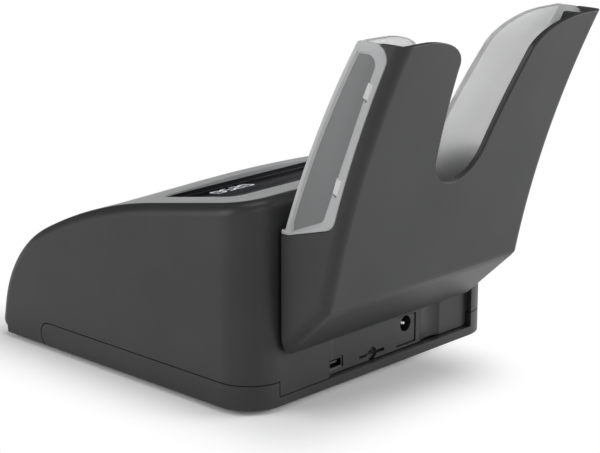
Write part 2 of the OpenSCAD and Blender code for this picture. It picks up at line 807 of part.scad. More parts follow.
module card_socket() color(steel) translate([card_x, -bay_d - wall - run, board_top]) difference() {
    block([-1, 1] * card_w / 2, [-card_l, 0], [0, card_h]);
    block([-1, 1] * (card_w / 2 - 1.4), [-card_l + 1, 1], [0.5, card_h - 0.5]);
}

module power_inlet() color(black) difference() {
    block(about(jack_x, jack_w / 2), [port_face - jack_l, port_face], from(board_top, jack_h));
    translate([jack_x, port_face + 1, jack_z]) rotate([90, 0, 0])
        cylinder(r = jack_bore_r, h = jack_bore_l + 1);
}

module power_inlet_pin() color(steel)
    translate([jack_x, port_face - jack_bore_l, jack_z]) rotate([-90, 0, 0]) {
        rod(jack_pin_r, 0, jack_pin_l);
        translate([0, 0, jack_pin_l]) cylinder(r1 = jack_pin_r, r2 = jack_pin_r / 2, h = 0.6);
    }

// Flat ribbon cables, as strips along a bent line in the side view
module ribbon(path, x, w) translate([x, 0, 0]) across(w) for (i = [0:len(path) - 2]) {
    step = path[i + 1] - path[i];
    translate(path[i]) rotate(atan2(step.y, step.x)) translate([0, -ribbon_t / 2])
        square([norm(step), ribbon_t]);
    translate(path[i + 1]) circle(ribbon_t / 2);
}
display_ribbon_from = flat_start + (display_board_front + 3) * [cos(top_slope), sin(top_slope)]
    + (display_board_z - ribbon_t / 2) * nrm(top_slope);
ribbon_plug_top = [board_front + 4, board_top + ribbon_plug_h + ribbon_t / 2];
module display_ribbon() color(ribbon_grey) ribbon([
    display_ribbon_from,
    display_ribbon_from + [1, -10],
    ribbon_plug_top + [-10, 22],
    ribbon_plug_top + [-3, 5],
    ribbon_plug_top,
    ribbon_plug_top + [2, 0]
], ribbon_x, ribbon_w);
key_ribbon_from = key_at + (key_board_half_l - 3) * [cos(key_slope), sin(key_slope)]
    + (key_board_z - ribbon_t / 2) * nrm(key_slope);
module key_ribbon() color(ribbon_grey) ribbon([
    key_ribbon_from,
    key_ribbon_from + [3, -2.4],
    display_ribbon_from - [4, 4],
    display_ribbon_from + 4 * [cos(top_slope), sin(top_slope)]
], key_ribbon_x, key_ribbon_w);

module load_cell() color("#c4c7ca") difference() {
    block([-0.5, 0.5] * cell_s, [-cell_y - cell_l, -cell_y], [cell_z, cell_top]);
    for (b = concat(cell_bolt, [for (b = cell_bolt) cell_l - b])) translate([0, -cell_y - cell_l + b, 0])
        rod(bolt_r + bore_fit, cell_z - 1, cell_top + 1);
    translate([0, -cell_y - cell_l / 2, cell_z + cell_s / 2]) {
        for (s = [-1, 1]) translate([0, s * cell_s / 2, 0]) rotate([0, 90, 0])
            cylinder(r = cell_s * 0.37, h = cell_s + 2, center = true);
        cube([cell_s + 2, cell_s, cell_s * 0.25], center = true);
    }
}

module strain_gauges() color("#b08a3e") for (s = [-1, 1])
    translate([0, -cell_y - cell_l / 2 + s * cell_s / 2, 0]) for (z = [cell_top, cell_z - gauge_t])
        block([-0.5, 0.5] * gauge_w, [-0.5, 0.5] * gauge_l, from(z, gauge_t));

module cell_mount() color("#9fa3a6") difference() {
    block([-mount_half_w, mount_half_w], from(-cell_y - cell_l, mount_l), [mount_pad_h, cell_z]);
    for (b = cell_bolt) translate([0, -cell_y - cell_l + b, 0])
        rod(bolt_r + fit, mount_pad_h - 1, cell_z + 1);
}

module cell_mount_screws() color(steel) for (b = cell_bolt) translate([0, -cell_y - cell_l + b, 0]) {
    difference() {
        rod(2 * bolt_r, mount_pad_h - 2.4 - 1.8, mount_pad_h - 2.4);
        translate([0, 0, mount_pad_h - 4.3]) cylinder(r = bolt_r * 0.7, h = 1.1, $fn = 6);
    }
    rod(bolt_r, mount_pad_h - 2.5, cell_z + cell_s * 0.7);
}

// Thin cable from the load cell's fixed end to the main board: a tube swept along its bends
cable_r = 1.1;
cable_sides = 8;
cable_from = [cell_s / 2, -cell_y - cell_l + 6, cell_z + cell_s / 2];
cable_bend = 7;
cable_low = floor_top + 3;
plug_front = board_front + plug_in;
cable_end_z = board_top + plug_h / 2;
cable_route = [
    cable_from,
    cable_from + [cable_bend / 3, 0, 0],
    cable_from + [0.9, 0.1, -0.4] * cable_bend,
    [plug_x - 2, cable_from.y + cable_bend / 3, cable_low + 2 * cable_bend],
    [plug_x - 2, cable_from.y + cable_bend, cable_low + cable_bend / 2],
    [plug_x - 2, cable_from.y + 2 * cable_bend, cable_low],
    [plug_x - 1, plug_front - 2 * cable_bend, cable_low],
    [plug_x, plug_front - cable_bend, cable_end_z - 0.4],
    [plug_x, plug_front - cable_bend / 2, cable_end_z],
    [plug_x, plug_front, cable_end_z]
];
function along(i) = unit(cable_route[min(i + 1, len(cable_route) - 1)] - cable_route[max(i - 1, 0)]);
function ring_side(i) = unit(cross(along(i), [0.3, 1, 0.2]));
function ring(i) = [for (k = [0:cable_sides - 1]) let (a = 360 * k / cable_sides)
    cable_route[i] + cable_r * (cos(a) * ring_side(i) + sin(a) * cross(along(i), ring_side(i)))];
module cell_cable() color("#303236") {
    last = len(cable_route) - 1;
    n = cable_sides;
    polyhedron(
        [for (i = [0:last]) each ring(i)],
        concat(
            [[for (k = [0:n - 1]) k]],
            [[for (k = [n - 1:-1:0]) last * n + k]],
            [for (i = [0:last - 1], k = [0:n - 1]) each let (m = (k + 1) % n) [
                [i * n + k, (i + 1) * n + m, i * n + m],
                [i * n + k, (i + 1) * n + k, (i + 1) * n + m]
            ]]
        )
    );
}

module overload_stop() color(steel) translate([0, stop_y, 0]) {
    rod(stop_r, floor_top + 2, cell_z - sink - stop_room);
    translate([0, 0, stop_boss_top]) cylinder(r = stop_r * 1.85, h = 3.2, $fn = 6);
}

module tray_carrier() color("#7d8185") difference() {
    union() {
        block([-1, 1] * arm_half_w, [-cell_y - cell_bolt[1] - 6, head_front + 1], from(cell_top, arm_t));
        across(2 * head_half_w) polygon([
            [head_front, head_low - 1.3], [head_front, head_top], [head_rear, head_top],
            [head_rear, head_low], [head_rear - 2, head_low - 1.3]
        ]);
    }
    for (b = cell_bolt) translate([0, -cell_y - b, 0])
        rod(bolt_r + fit, cell_top - 1, cell_top + arm_t + 1);
}

module carrier_screws() color(steel) for (b = cell_bolt) translate([0, -cell_y - b, 0]) {
    difference() {
        rod(1.8 * bolt_r, cell_top + arm_t, cell_top + arm_t + 2.6);
        translate([0, 0, cell_top + arm_t + 1.2]) cylinder(r = bolt_r * 0.8, h = 2, $fn = 6);
    }
    rod(bolt_r, cell_z + 2, cell_top + arm_t + 0.1);
}

// The tray's outside: its side outline with the rear corners rounded along the back
module tray_block() intersection() {
    across(tray_w + 2) polygon(tray_outline);
    let (n = len(tray_plan), last = len(tray_rows) - 1) polyhedron(
        [for (row = tray_rows, p = tray_plan) [p.x, p.y + row.x, row.y]],
        concat(
            [[for (k = [0:n - 1]) k]],
            [[for (k = [n - 1:-1:0]) last * n + k]],
            [for (i = [0:last - 1], k = [0:n - 1]) let (m = (k + 1) % n)
                [i * n + k, (i + 1) * n + k, (i + 1) * n + m, i * n + m]]
        )
    );
}
module notch() translate([0, tall, 0]) rotate([90, 0, 0]) linear_extrude(2 * tall) polygon(notch_outline);
module tray_back() color(charcoal) {
    difference() {
        tray_block();
        across(2 * inner_half_w) polygon(pocket_outline);
        across(2 * inner_half_w) polygon(hollow_outline);
        across(tall)
            polygon(strip_outline(strip_gap, 0, tray_top + strip_gap, 0, strip_corner_r, strip_top_r));
        notch();
    }
    both_sides() {
        block(from(head_half_w + run, 2), [inner_front - 0.5, head_rear], [cell_top, ceiling + 0.5]);
        translate([inner_half_w - fit - flange_t / 2, 0, 0]) across(flange_t) polygon(flange_outline);
        for (z = clip_z) clip_at(z) block([inner_half_w - fit - 0.5, tray_w / 2 - 0.6],
            [-1, 1] * (clip_w / 2 - clip_room), [-1, 1] * (clip_h / 2 - clip_room));
    }
}
// The middle of a clip, turned with the tray's back
module clip_at(z) translate([0, inside_back(z, tray_corner_r + clip_in).x, z])
    rotate([-back_lean(z), 0, 0]) children();

module tray_front() color("#c3c6c8") difference() {
    intersection() {
        tray_block();
        across(tall) polygon(strip_outline(0, 0, tray_top, 0, strip_corner_r, strip_top_r));
    }
    across(2 * inner_half_w) polygon(pocket_outline);
    notch();
    both_sides() {
        translate([tray_w / 2, 0, 0]) intersection() {
            across(2 * strip_sink)
                polygon(strip_outline(0, strip_rim_rear, tray_top - strip_rim_top, strip_rim_low, 2, 1.5));
            across(tall) polygon(concat(front_curve(strip_rim_front, front_low - 10, tray_top, 8),
                [[tall, tray_top], [tall, front_low - 10]]));
        }
        for (z = clip_z) clip_at(z) block([inner_half_w - 1, tray_w / 2 + 1],
            [-1, 1] * clip_w / 2, [-1, 1] * clip_h / 2);
    }
}

module battery_pack() color("#33506b") {
    upward(pack_z, pack_z + pack_h)
        rounded(about(pack_x, pack_w / 2), [-pack_y - pack_l, -pack_y], 2);
}

module battery_contacts() color("#c8a24a") for (s = [-1, 1]) translate([pack_x + s * 6, -pack_y + run, 0]) {
    block([-1.5, 1.5], [0, 0.6], [pack_z + 2, pack_z + 9]);
    block([-1.5, 1.5], [0, door_rear + door_room + pack_y - run], [pack_z + 8, pack_z + 9]);
}

module battery_door() color(charcoal) difference() {
    union() {
        block(about(pack_x, door_half_w), [door_front, door_rear], from(foot_gap, door_t));
        for (s = [-1, 1]) translate([pack_x + s * tab_x, door_front, foot_gap]) {
            block([-0.5, 0.5] * tab_w, [0.4, 2.4], [door_t - 0.5, wall + door_room + tab_t]);
            block([-0.5, 0.5] * tab_w, [-tab_l, 2.4], from(wall + door_room, tab_t));
        }
    }
    for (s = [-1, 1])
        block(about(pack_x + s * catch_half_w, slit_w / 2), [door_rear - catch_l, door_rear + 1],
            [0, foot_gap + door_t + 1]);
    for (i = [0:2]) block(about(pack_x, 4), about(door_rear - 3 - 2 * i, slit_w / 2), [0, foot_gap + 0.5]);
}

module housing_screws() color(steel) both_sides() for (y = tower_y) translate([tower_x, y, 0]) {
    difference() {
        rod(screw_head_r, foot_gap + 0.6, foot_gap + 0.6 + screw_head_h);
        translate([0, 0, foot_gap]) cylinder(r = 1.2, h = 1.6, $fn = 6);
    }
    rod(screw_r, foot_gap + 0.5 + screw_head_h, tower_top - 8);
}

module rubber_feet() color("#1d1e20") feet_at() {
    translate([0, 0, foot_gap / 2]) cylinder(r = foot_r, h = foot_gap / 2 + foot_seat);
    cylinder(r1 = foot_r - 0.6, r2 = foot_r, h = foot_gap / 2);
}

placed() top_housing();
placed() bottom_shell();
placed() bezel_frame();
placed() control_panel();
placed() display_window();
placed() lcd_module();
placed() display_board();
placed() key_board();
placed() key_dome_sheet();
placed() key(0);  // power_key
placed() key(1);  // menu_key
placed() key(2);  // up_key
placed() key(3);  // down_key
placed() key(4);  // ok_key
placed() key(5);  // clear_key
placed() panel_screws();
placed() main_board();
placed() board_screws();
placed() board_chips();
placed() buzzer();
placed() data_socket();
placed() card_socket();
placed() power_inlet();
placed() power_inlet_pin();
placed() display_ribbon();
placed() key_ribbon();
placed() load_cell();
placed() strain_gauges();
placed() cell_mount();
placed() cell_mount_screws();
placed() cell_cable();
placed() overload_stop();
placed() tray_carrier();
placed() carrier_screws();
placed() tray_back();
placed() tray_front();
placed() battery_pack();
placed() battery_contacts();
placed() battery_door();
placed() housing_screws();
placed() rubber_feet();
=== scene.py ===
from math import atan, atan2, cos, hypot, radians, sin, sqrt, tan

import bmesh
import bpy
from mathutils import Matrix, Vector
from mathutils.geometry import delaunay_2d_cdt


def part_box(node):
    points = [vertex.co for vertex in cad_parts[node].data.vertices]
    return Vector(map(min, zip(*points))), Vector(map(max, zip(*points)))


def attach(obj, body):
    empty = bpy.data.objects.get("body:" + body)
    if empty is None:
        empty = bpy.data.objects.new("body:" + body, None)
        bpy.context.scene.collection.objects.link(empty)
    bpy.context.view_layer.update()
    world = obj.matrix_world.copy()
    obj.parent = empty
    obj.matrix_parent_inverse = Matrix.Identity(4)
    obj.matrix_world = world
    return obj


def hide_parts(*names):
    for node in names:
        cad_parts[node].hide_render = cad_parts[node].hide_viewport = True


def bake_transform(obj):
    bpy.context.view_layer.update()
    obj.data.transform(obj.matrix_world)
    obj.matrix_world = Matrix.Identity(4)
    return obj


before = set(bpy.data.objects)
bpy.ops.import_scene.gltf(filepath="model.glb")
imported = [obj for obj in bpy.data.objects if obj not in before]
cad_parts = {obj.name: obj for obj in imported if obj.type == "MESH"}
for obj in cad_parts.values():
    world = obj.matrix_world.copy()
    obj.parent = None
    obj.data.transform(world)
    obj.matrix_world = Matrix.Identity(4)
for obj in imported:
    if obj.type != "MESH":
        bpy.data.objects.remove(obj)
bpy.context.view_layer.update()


# Bottom shell: the moulded floor of the scale, with a skirt that shows below the parting line.
# It is one injection moulding in charcoal ABS with a fine spark-eroded texture; four screws from
# below hold it to the top housing, and it carries the boards, the load cell and the battery.
rear_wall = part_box("top_housing")[1][1]
body_width, body_length, wall, floor_low = 143.0, 146.0, 2.4, 2.0
floor_top = floor_low + wall
front_slope, brow_slope, top_slope = 79.0, 28.0, 10.4
nose_height, nose_radius, brow_radius, toe_radius = 14.8, 51.0, 215.0, 5.0
corner_radius, edge_radius = 15.4, 4.5
skirt_top, skirt_length, seam = 11.4, 119.3, 0.4
bay_left, bay_right, drop_right = -57.0, 29.0, 56.0
bay_depth, bay_low, bay_high = 2.5, 5.5, 25.0
past_side, past_front, past_low, past_top = 90, 160, -5, 140
charcoal = (0.030, 0.0303, 0.031)


def point(x, y, z):
    """A point in metres, from millimetres across, behind the rear wall and above the table."""
    return x / 1000, rear_wall + y / 1000, z / 1000


def slope_normal(degrees):
    return Vector((-sin(radians(degrees)), cos(radians(degrees))))


def stations(first, last, steps):
    return [first + (last - first) * i / steps for i in range(steps + 1)]


def slope_arc(centre, radius, first, last, steps):
    return [centre + max(radius, 0.05) * slope_normal(a) for a in stations(first, last, steps)]


def arc(x, y, radius, first, last, steps):
    return [(x + radius * cos(a), y + radius * sin(a))
            for a in map(radians, stations(first, last, steps))]


toe_centre = Vector((toe_radius - body_length, floor_low + toe_radius))
toe_end = toe_centre + toe_radius * slope_normal(front_slope)
nose_rise = nose_height - toe_end.y
nose_start = toe_end + nose_rise * Vector((1 / tan(radians(front_slope)), 1))
nose_centre = nose_start - nose_radius * slope_normal(front_slope)
brow_centre = nose_centre + (nose_radius - brow_radius) * slope_normal(brow_slope)
flat_start = brow_centre + brow_radius * slope_normal(top_slope)


def flat_height(y):
    return flat_start.y + (y - flat_start.x) * tan(radians(top_slope))


def body_side(inset, low):
    """The body's outline from the side, drawn in by inset, as (y, z) points from the rear to the toe."""
    behind = 3.0
    top = flat_height(behind) - inset / cos(radians(top_slope))
    outline = [Vector((behind, low)), Vector((behind, top))]
    outline += slope_arc(brow_centre, brow_radius - inset, top_slope, brow_slope, 14)
    outline += slope_arc(nose_centre, nose_radius - inset, brow_slope, front_slope, 20)[1:]
    outline += slope_arc(toe_centre, toe_radius - inset, front_slope, 180, 8)
    if outline[-1].y - low > 0.01:
        outline.append(Vector((outline[-1].x, low)))
    return outline


def round_rear(half, radius, rear, front, steps):
    """Outline of a block with two round corners at its rear."""
    outline = [(-half, front), (half, front)]
    for x, first in ((half - radius, 0), (radius - half, 90)):
        outline += arc(x, rear - radius, radius, first, first + 90, steps)
    return outline


def body_plan(inset):
    return round_rear(body_width / 2 - inset, corner_radius - inset, -inset, -past_front, 24)


def band(work, low, high):
    """A band of faces between two closed rows of points."""
    return [work.faces.new(corners) for corners in zip(low, low[1:] + low[:1], high[1:] + high[:1], high)]


def loft(rows):
    """A closed blank through rows of points, with a face over each end."""
    work = bmesh.new()
    rows = [[work.verts.new(spot) for spot in row] for row in rows]
    work.faces.new(rows[0])
    work.faces.new(rows[-1])
    for low, high in zip(rows, rows[1:]):
        band(work, low, high)
    return blank(work)


def prism(outline, along, low, high, place=point):
    """A closed blank: an outline pushed along x, y or z, from low to high, in millimetres."""
    order = {"x": lambda t, a, b: (t, a, b), "y": lambda t, a, b: (a, t, b),
             "z": lambda t, a, b: (a, b, t)}[along]
    return loft([[place(*order(t, p[0], p[1])) for p in outline] for t in (low, high)])


def slab(outline, half):
    """A closed blank: a side outline pushed out to both sides."""
    return prism(outline, "x", -half, half)


def put_in(name, data):
    thing = bpy.data.objects.new(name, data)
    bpy.context.scene.collection.objects.link(thing)
    return thing


def blank(work):
    """Makes a finished mesh into a piece without a name or finish, with its faces turned outwards."""
    bmesh.ops.recalc_face_normals(work, faces=work.faces)
    mesh = bpy.data.meshes.new("blank")
    work.to_mesh(mesh)
    work.free()
    return put_in("blank", mesh)


def rectangle(x0, x1, y0, y1):
    return [(x0, y0), (x1, y0), (x1, y1), (x0, y1)]


def block(x, y, z, place=point):
    return prism(rectangle(x[0], x[1], y[0], y[1]), "z", z[0], z[1], place)


def ring(radius, x=0.0, y=0.0, steps=40):
    return arc(x, y, radius, 0, 360, steps)[:-1]


def rod(radius, x, y, low, high, steps=40):
    return prism(ring(radius, x, y, steps), "z", low, high)


def settle(piece):
    """Turns the modifiers on a piece into its mesh."""
    bpy.context.view_layer.update()
    graph = bpy.context.evaluated_depsgraph_get()
    mesh = bpy.data.meshes.new_from_object(piece.evaluated_get(graph))
    old = piece.data
    piece.modifiers.clear()
    piece.data = mesh
    bpy.data.meshes.remove(old)
    return piece


def join(piece, tools, how="UNION"):
    for tool in tools:
        step = piece.modifiers.new("step", "BOOLEAN")
        step.operation = how
        step.solver = "MANIFOLD"
        step.object = tool
        settle(piece)
        bpy.data.objects.remove(tool)
    return piece


def cut(piece, *tools):
    return join(piece, tools, "DIFFERENCE")


def keep(piece, *tools):
    return join(piece, tools, "INTERSECT")


def round_edges(piece, radius, steps, weigh):
    """Rounds the edges of a piece, each by its weight of the radius."""
    work = bmesh.new()
    work.from_mesh(piece.data)
    bmesh.ops.dissolve_limit(work, angle_limit=0.0005, verts=work.verts, edges=work.edges)
    work.normal_update()
    weight = work.edges.layers.float.new("bevel_weight_edge")
    for edge in work.edges:
        if len(edge.link_faces) == 2:
            edge[weight] = weigh(edge, edge.link_faces[0].normal, edge.link_faces[1].normal)
    work.to_mesh(piece.data)
    work.free()
    step = piece.modifiers.new("step", "BEVEL")
    step.limit_method = "WEIGHT"
    step.width = radius / 1000
    step.segments = steps
    step.use_clamp_overlap = False
    return settle(piece)


def sharp(edge, least=40.0):
    return edge.is_manifold and edge.calc_face_angle(0) > radians(least)


def smooth(piece, name, angle=32.0):
    """Names a finished mesh and shades it smooth up to its real edges."""
    piece.name = piece.data.name = name
    piece.data.shade_smooth()
    piece.data.set_sharp_from_angle(angle=radians(angle))
    level = piece.modifiers.new("level", "WEIGHTED_NORMAL")
    level.keep_sharp = True
    return piece


def body_form(inset, low):
    """The whole wedge of the body, drawn in by inset and flat at its lower end."""
    return keep(slab(body_side(inset, low), past_side), prism(body_plan(inset), "z", past_low, past_top))


def top_edge(edge, a, b):
    """Weight of the edge between the top and the walls, which runs round the rear corners."""
    def is_wall(n):
        return abs(n.z) < 0.03 and (abs(n.x) > 0.02 or n.y > 0.5)

    def is_top(n):
        return abs(n.x) < 0.02 and n.z > -0.97 and not is_wall(n)
    return 1.0 if sharp(edge) and (is_wall(a) and is_top(b) or is_wall(b) and is_top(a)) else 0.0


def skirt(grow):
    """The space below the parting line, which ends in a half round towards the nose."""
    behind, below = 20, -3
    end = (skirt_top - floor_low) / 2
    middle = Vector((end - skirt_length, floor_low + end))
    outline = [(behind, below), (behind, skirt_top + grow)]
    outline += [tuple(middle + (end + grow) * slope_normal(a)) for a in range(0, 181, 10)]
    outline.append((middle.x, below))
    return slab(outline, past_side)


def drop(grow):
    """The space behind the bay, where the housing reaches down through the skirt."""
    return block((bay_left + grow, drop_right - grow), (-bay_depth - wall - 1, 5),
                 (bay_low + grow, bay_high))


def set_sockets(tree, node, sockets):
    """Sets a node's sockets to plain values, or links them to outputs of other nodes."""
    for name, value in sockets.items():
        if isinstance(value, bpy.types.NodeSocket):
            tree.links.new(value, node.inputs[name])
        else:
            node.inputs[name].default_value = value
    return node


def add_node(tree, kind, sockets):
    return set_sockets(tree, tree.nodes.new("ShaderNode" + kind), sockets).outputs


def tones(tree, value, dark, light, first=0.0, last=1.0):
    """A colour that goes from a dark to a light tone while a value goes from first to last."""
    ramp = tree.nodes.new("ShaderNodeValToRGB")
    set_sockets(tree, ramp, {"Fac": value})
    for end, spot, colour in zip(ramp.color_ramp.elements, (first, last), (dark, light)):
        end.position, end.color = spot, list(colour) + [1]
    return ramp.outputs["Color"]


def grade(tree, value, first, last, low, high):
    """A level that goes from low to high while a value goes from first to last."""
    return add_node(tree, "MapRange", {"Value": value, "From Min": first, "From Max": last,
                                       "To Min": low, "To Max": high})["Result"]


def new_finish(name):
    finish = bpy.data.materials.new(name)
    finish.use_nodes = True
    tree = finish.node_tree
    return finish, tree, add_node(tree, "TexCoord", {})["Object"]


def tune(finish, sockets):
    """Sets or links sockets of a finish's own shader."""
    set_sockets(finish.node_tree, finish.node_tree.nodes["Principled BSDF"], sockets)
    return finish


def plastic(name, colour, rough, grain, depth, drift=0.12):
    """Moulded plastic: a fine textured skin, with slow changes of shade and gloss over the piece."""
    slow_scale, gloss_drift = 35, 0.05
    finish, tree, place = new_finish(name)
    slow = add_node(tree, "TexNoise", {"Vector": place, "Scale": slow_scale, "Detail": 3})["Fac"]
    dark, light = [[c * (1 + change) for c in colour] for change in (-drift, drift)]
    fine = add_node(tree, "TexNoise", {"Vector": place, "Scale": grain, "Detail": 2})["Fac"]
    skin = add_node(tree, "Bump", {"Height": fine, "Strength": 0.5, "Distance": depth})
    gloss = grade(tree, fine, 0.0, 1.0, rough - gloss_drift, rough + gloss_drift)
    return tune(finish, {"Base Color": tones(tree, slow, dark, light, 0.3, 0.7), "Normal": skin["Normal"],
                         "Roughness": gloss})


def coat(piece, finish, slot, *nodes):
    """Gives a new piece its finish and hides the nodes of the frame that it stands for; the slot is not
    used.
    """
    piece.data.materials.clear()
    piece.data.materials.append(finish)
    if nodes:
        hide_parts(*nodes)


def dress(piece, finish, body, slot, *nodes):
    """Coats a new piece and lets it move with a body."""
    coat(piece, finish, slot, *nodes)
    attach(piece, body)


charcoal_plastic = tune(plastic("charcoal_plastic", charcoal, 0.40, 2600, 0.00002),
                        {"Specular IOR Level": 0.3})
# Both shells start from the same rounded block.
housing, shell = [round_edges(body_form(0, floor_low), edge_radius, 8, top_edge) for part in range(2)]
keep(shell, skirt(0))
cut(shell, body_form(wall, floor_top), drop(0))
plate_front, into_floor = -139, floor_top - 1
plate = [(x, max(y, plate_front)) for x, y in body_plan(wall + seam)]
join(shell, [prism(plate, "z", floor_low, floor_top)])
tower_radius, tower_low, tower_high = 4, 7.1, 30
post_radius, post_top, stop_radius, stop_top, stop_y = 3, 5.7, 5, 16, -26
pad_half, pad_front, pad_rear, pad_top, bolt_spots = 12, -95, -65, 7, [(0, -87), (0, -72)]
tower_spots = [(side * 64.6, y) for side in (-1, 1) for y in (-36, -108)]
foot_spots = [(side * 58.5, y) for side in (-1, 1) for y in (-17, -129)]
post_spots = [(x, y) for x in (-42, 36) for y in (-44, -13.25)]
join(shell, [rod(tower_radius, x, y, into_floor, tower_low) for x, y in tower_spots])
join(shell, [rod(post_radius, x, y, into_floor, post_top) for x, y in post_spots])
join(shell, [block((-pad_half, pad_half), (pad_front, pad_rear), (into_floor, pad_top)),
             rod(stop_radius, 0, stop_y, into_floor, stop_top)])
door_x, door_half, door_front, door_rear, door_room = -38.0, 19.7, -122.8, -50.8, 0.4
rib_half, rib_rear, rib_top, catch_half, catch_thick = 0.8, -52, floor_top + 10, 15, 2
for side in (-1, 1):
    middle = door_x + side * (door_half + door_room + rib_half)
    join(shell, [block((middle - rib_half, middle + rib_half), (door_front - door_room, rib_rear),
                       (into_floor, rib_top))])
join(shell, [block((door_x - catch_half, door_x + catch_half),
                   (door_rear + door_room, door_rear + catch_thick), (into_floor, rib_top))])
for spots, radius, low, high in ((tower_spots, 3.15, 0, 4.6), (tower_spots, 1.75, 0, 9),
                                 (foot_spots, 6.25, 0, 2.6), (post_spots, 1.26, 3.1, 9),
                                 (bolt_spots, 4.25, 0, 4.6), (bolt_spots, 2.25, 0, 9),
                                 ([(0, stop_y)], 2.56, 5.4, 20)):
    cut(shell, *[rod(radius, x, y, low, high) for x, y in spots])
cut(shell, block((door_x - door_half - door_room, door_x + door_half + door_room),
                 (door_front - door_room, door_rear + door_room), (0, floor_top + 0.2)))
smooth(shell, "bottom_shell_moulding")
dress(shell, charcoal_plastic, "base", "housing_plastic", "bottom_shell")


# Feet: four turned discs of soft black rubber, pressed into round seats under the bottom shell.
# Their lower edge is rounded, and a shallow ring in the sole lets them grip the counter.
sole = [(0.0, 0.25), (3.2, 0.25), (3.5, 0.0), (5.2, 0.0), (5.6, 0.15), (5.85, 0.5), (6.0, 1.0),
        (6.0, 2.6), (0.0, 2.6)]


def turned(profile, spots, steps=48):
    """Pieces turned about upright axes: a profile of (radius, height) at each spot."""
    work = bmesh.new()
    for x, y in spots:
        rows = []
        for r, z in profile:
            if r == 0:
                rows.append([work.verts.new(point(x, y, z))])
            else:
                rows.append([work.verts.new(point(px, py, z)) for px, py in ring(r, x, y, steps)])
        for a, b in zip(rows, rows[1:]):
            for i in range(steps):
                j = (i + 1) % steps
                corners = [a[i % len(a)], a[j % len(a)], b[j % len(b)], b[i % len(b)]]
                work.faces.new(list(dict.fromkeys(corners)))
    return blank(work)


black_rubber = plastic("black_rubber", (0.014, 0.014, 0.015), 0.75, 1500, 0.00003)
feet = smooth(turned(sole, foot_spots), "feet_soles")
dress(feet, black_rubber, "base", "foot_rubber", "rubber_feet")


# Fasteners: the screws that hold the boards, the panel, the load cell, the carrier and the shells.
# They are cold-headed steel, plated bright with zinc.
def metal(name, colour, rough, grain):
    """Bare or plated metal: slow changes of tone, and fine marks of the tool that stretch one way."""
    stretch, dark, light, gloss_drift = (1.0, 0.08, 1.0), 0.85, 1.1, 0.08
    finish, tree, place = new_finish(name)
    long = add_node(tree, "Mapping", {"Vector": place, "Scale": stretch})["Vector"]
    marks = add_node(tree, "TexNoise", {"Vector": long, "Scale": grain})["Fac"]
    tone = tones(tree, marks, [c * dark for c in colour], [min(1, c * light) for c in colour])
    gloss = grade(tree, marks, 0.0, 1.0, rough - gloss_drift, rough + gloss_drift)
    return tune(finish, {"Metallic": 1.0, "Base Color": tone, "Roughness": gloss})


def paint(finish, *names):
    """Gives a node of the frame that shows as it is a finish."""
    for name in names:
        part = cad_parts[name]
        if not part.material_slots:
            part.data.materials.append(finish)
        for place in part.material_slots:
            place.link = "OBJECT"
            place.material = finish


plated_steel = metal("plated_steel", (0.58, 0.58, 0.60), 0.30, 900)
paint(plated_steel, "panel_screws", "board_screws", "cell_mount_screws", "overload_stop", "carrier_screws",
      "housing_screws")


# Main board and its parts: a glass-fibre board with green solder mask, screwed to four posts of the floor.
# It carries chips, two capacitors, plugs, the buzzer and, at its rear edge, the three sockets of the bay.
def board_mask(name, colour, track):
    """Circuit board: solder mask over fine copper tracks that show as slightly lighter lines."""
    finish = plastic(name, colour, 0.28, 700, 0.00001)
    tree = finish.node_tree
    place = add_node(tree, "TexCoord", {})["Object"]
    lines = add_node(tree, "TexBrick", {"Vector": place, "Scale": 160, "Mortar Size": 0.06,
                                        "Color1": [*colour, 1], "Color2": [*[c * 0.85 for c in colour], 1],
                                        "Mortar": [*track, 1]})
    return tune(finish, {"Base Color": lines["Color"]})


green_board = board_mask("green_board", (0.02, 0.12, 0.05), (0.06, 0.22, 0.09))
chip_black = plastic("chip_black", (0.018, 0.018, 0.02), 0.5, 1800, 0.00001)
socket_black = plastic("socket_black", (0.012, 0.012, 0.013), 0.42, 2200, 0.00001)
paint(green_board, "main_board", "display_board", "key_board")
paint(chip_black, "board_chips", "buzzer")
paint(socket_black, "power_inlet")
bright_steel = metal("bright_steel", (0.72, 0.72, 0.73), 0.22, 1200)
paint(bright_steel, "card_socket", "power_inlet_pin")
dark_nickel = metal("dark_nickel", (0.13, 0.13, 0.14), 0.34, 1200)
paint(dark_nickel, "data_socket")
ribbon_grey = plastic("ribbon_grey", (0.58, 0.55, 0.46), 0.5, 900, 0.00001)
paint(ribbon_grey, "display_ribbon", "key_ribbon")


# Load cell: a milled aluminium bending beam on a mounting block, with foil gauges bonded to it.
# Its front end is bolted through the floor and its rear end carries the tray's arm, so the thin webs
# over its two cross holes bend a little under a load; a thin cable runs from its side to the main board.
def box_of(node):
    """A node's ranges in millimetres: across, behind the rear wall and above the table."""
    low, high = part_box(node)
    return [((a - start) * 1000, (b - start) * 1000) for a, b, start in zip(low, high, (0, rear_wall, 0))]


cell_x, (cell_front, cell_rear), (cell_bottom, cell_top) = box_of("load_cell")
cell_size = cell_top - cell_bottom
cell_middle = (cell_front + cell_rear) / 2
cell_axis = (cell_bottom + cell_top) / 2
cell_bolts = (5.0, 20.0)
bolt_bore, cross_bore, slot_high = 2.06, 4.7, 3.175
bend_half, bend_steps = 11.0, 8
cell = block(cell_x, (cell_front, cell_rear), (cell_bottom, cell_top))
for step in cell_bolts:
    for y in (cell_front + step, cell_rear - step):
        cut(cell, rod(bolt_bore, 0.0, y, cell_bottom - 1, cell_top + 1, 24))
for side in (-1, 1):
    bore = ring(cross_bore, cell_middle + side * cell_size / 2, cell_axis, 32)
    cut(cell, slab(bore, cell_size))
slot = rectangle(cell_middle - cell_size / 2, cell_middle + cell_size / 2,
                 cell_axis - slot_high / 2, cell_axis + slot_high / 2)
cut(cell, slab(slot, cell_size))


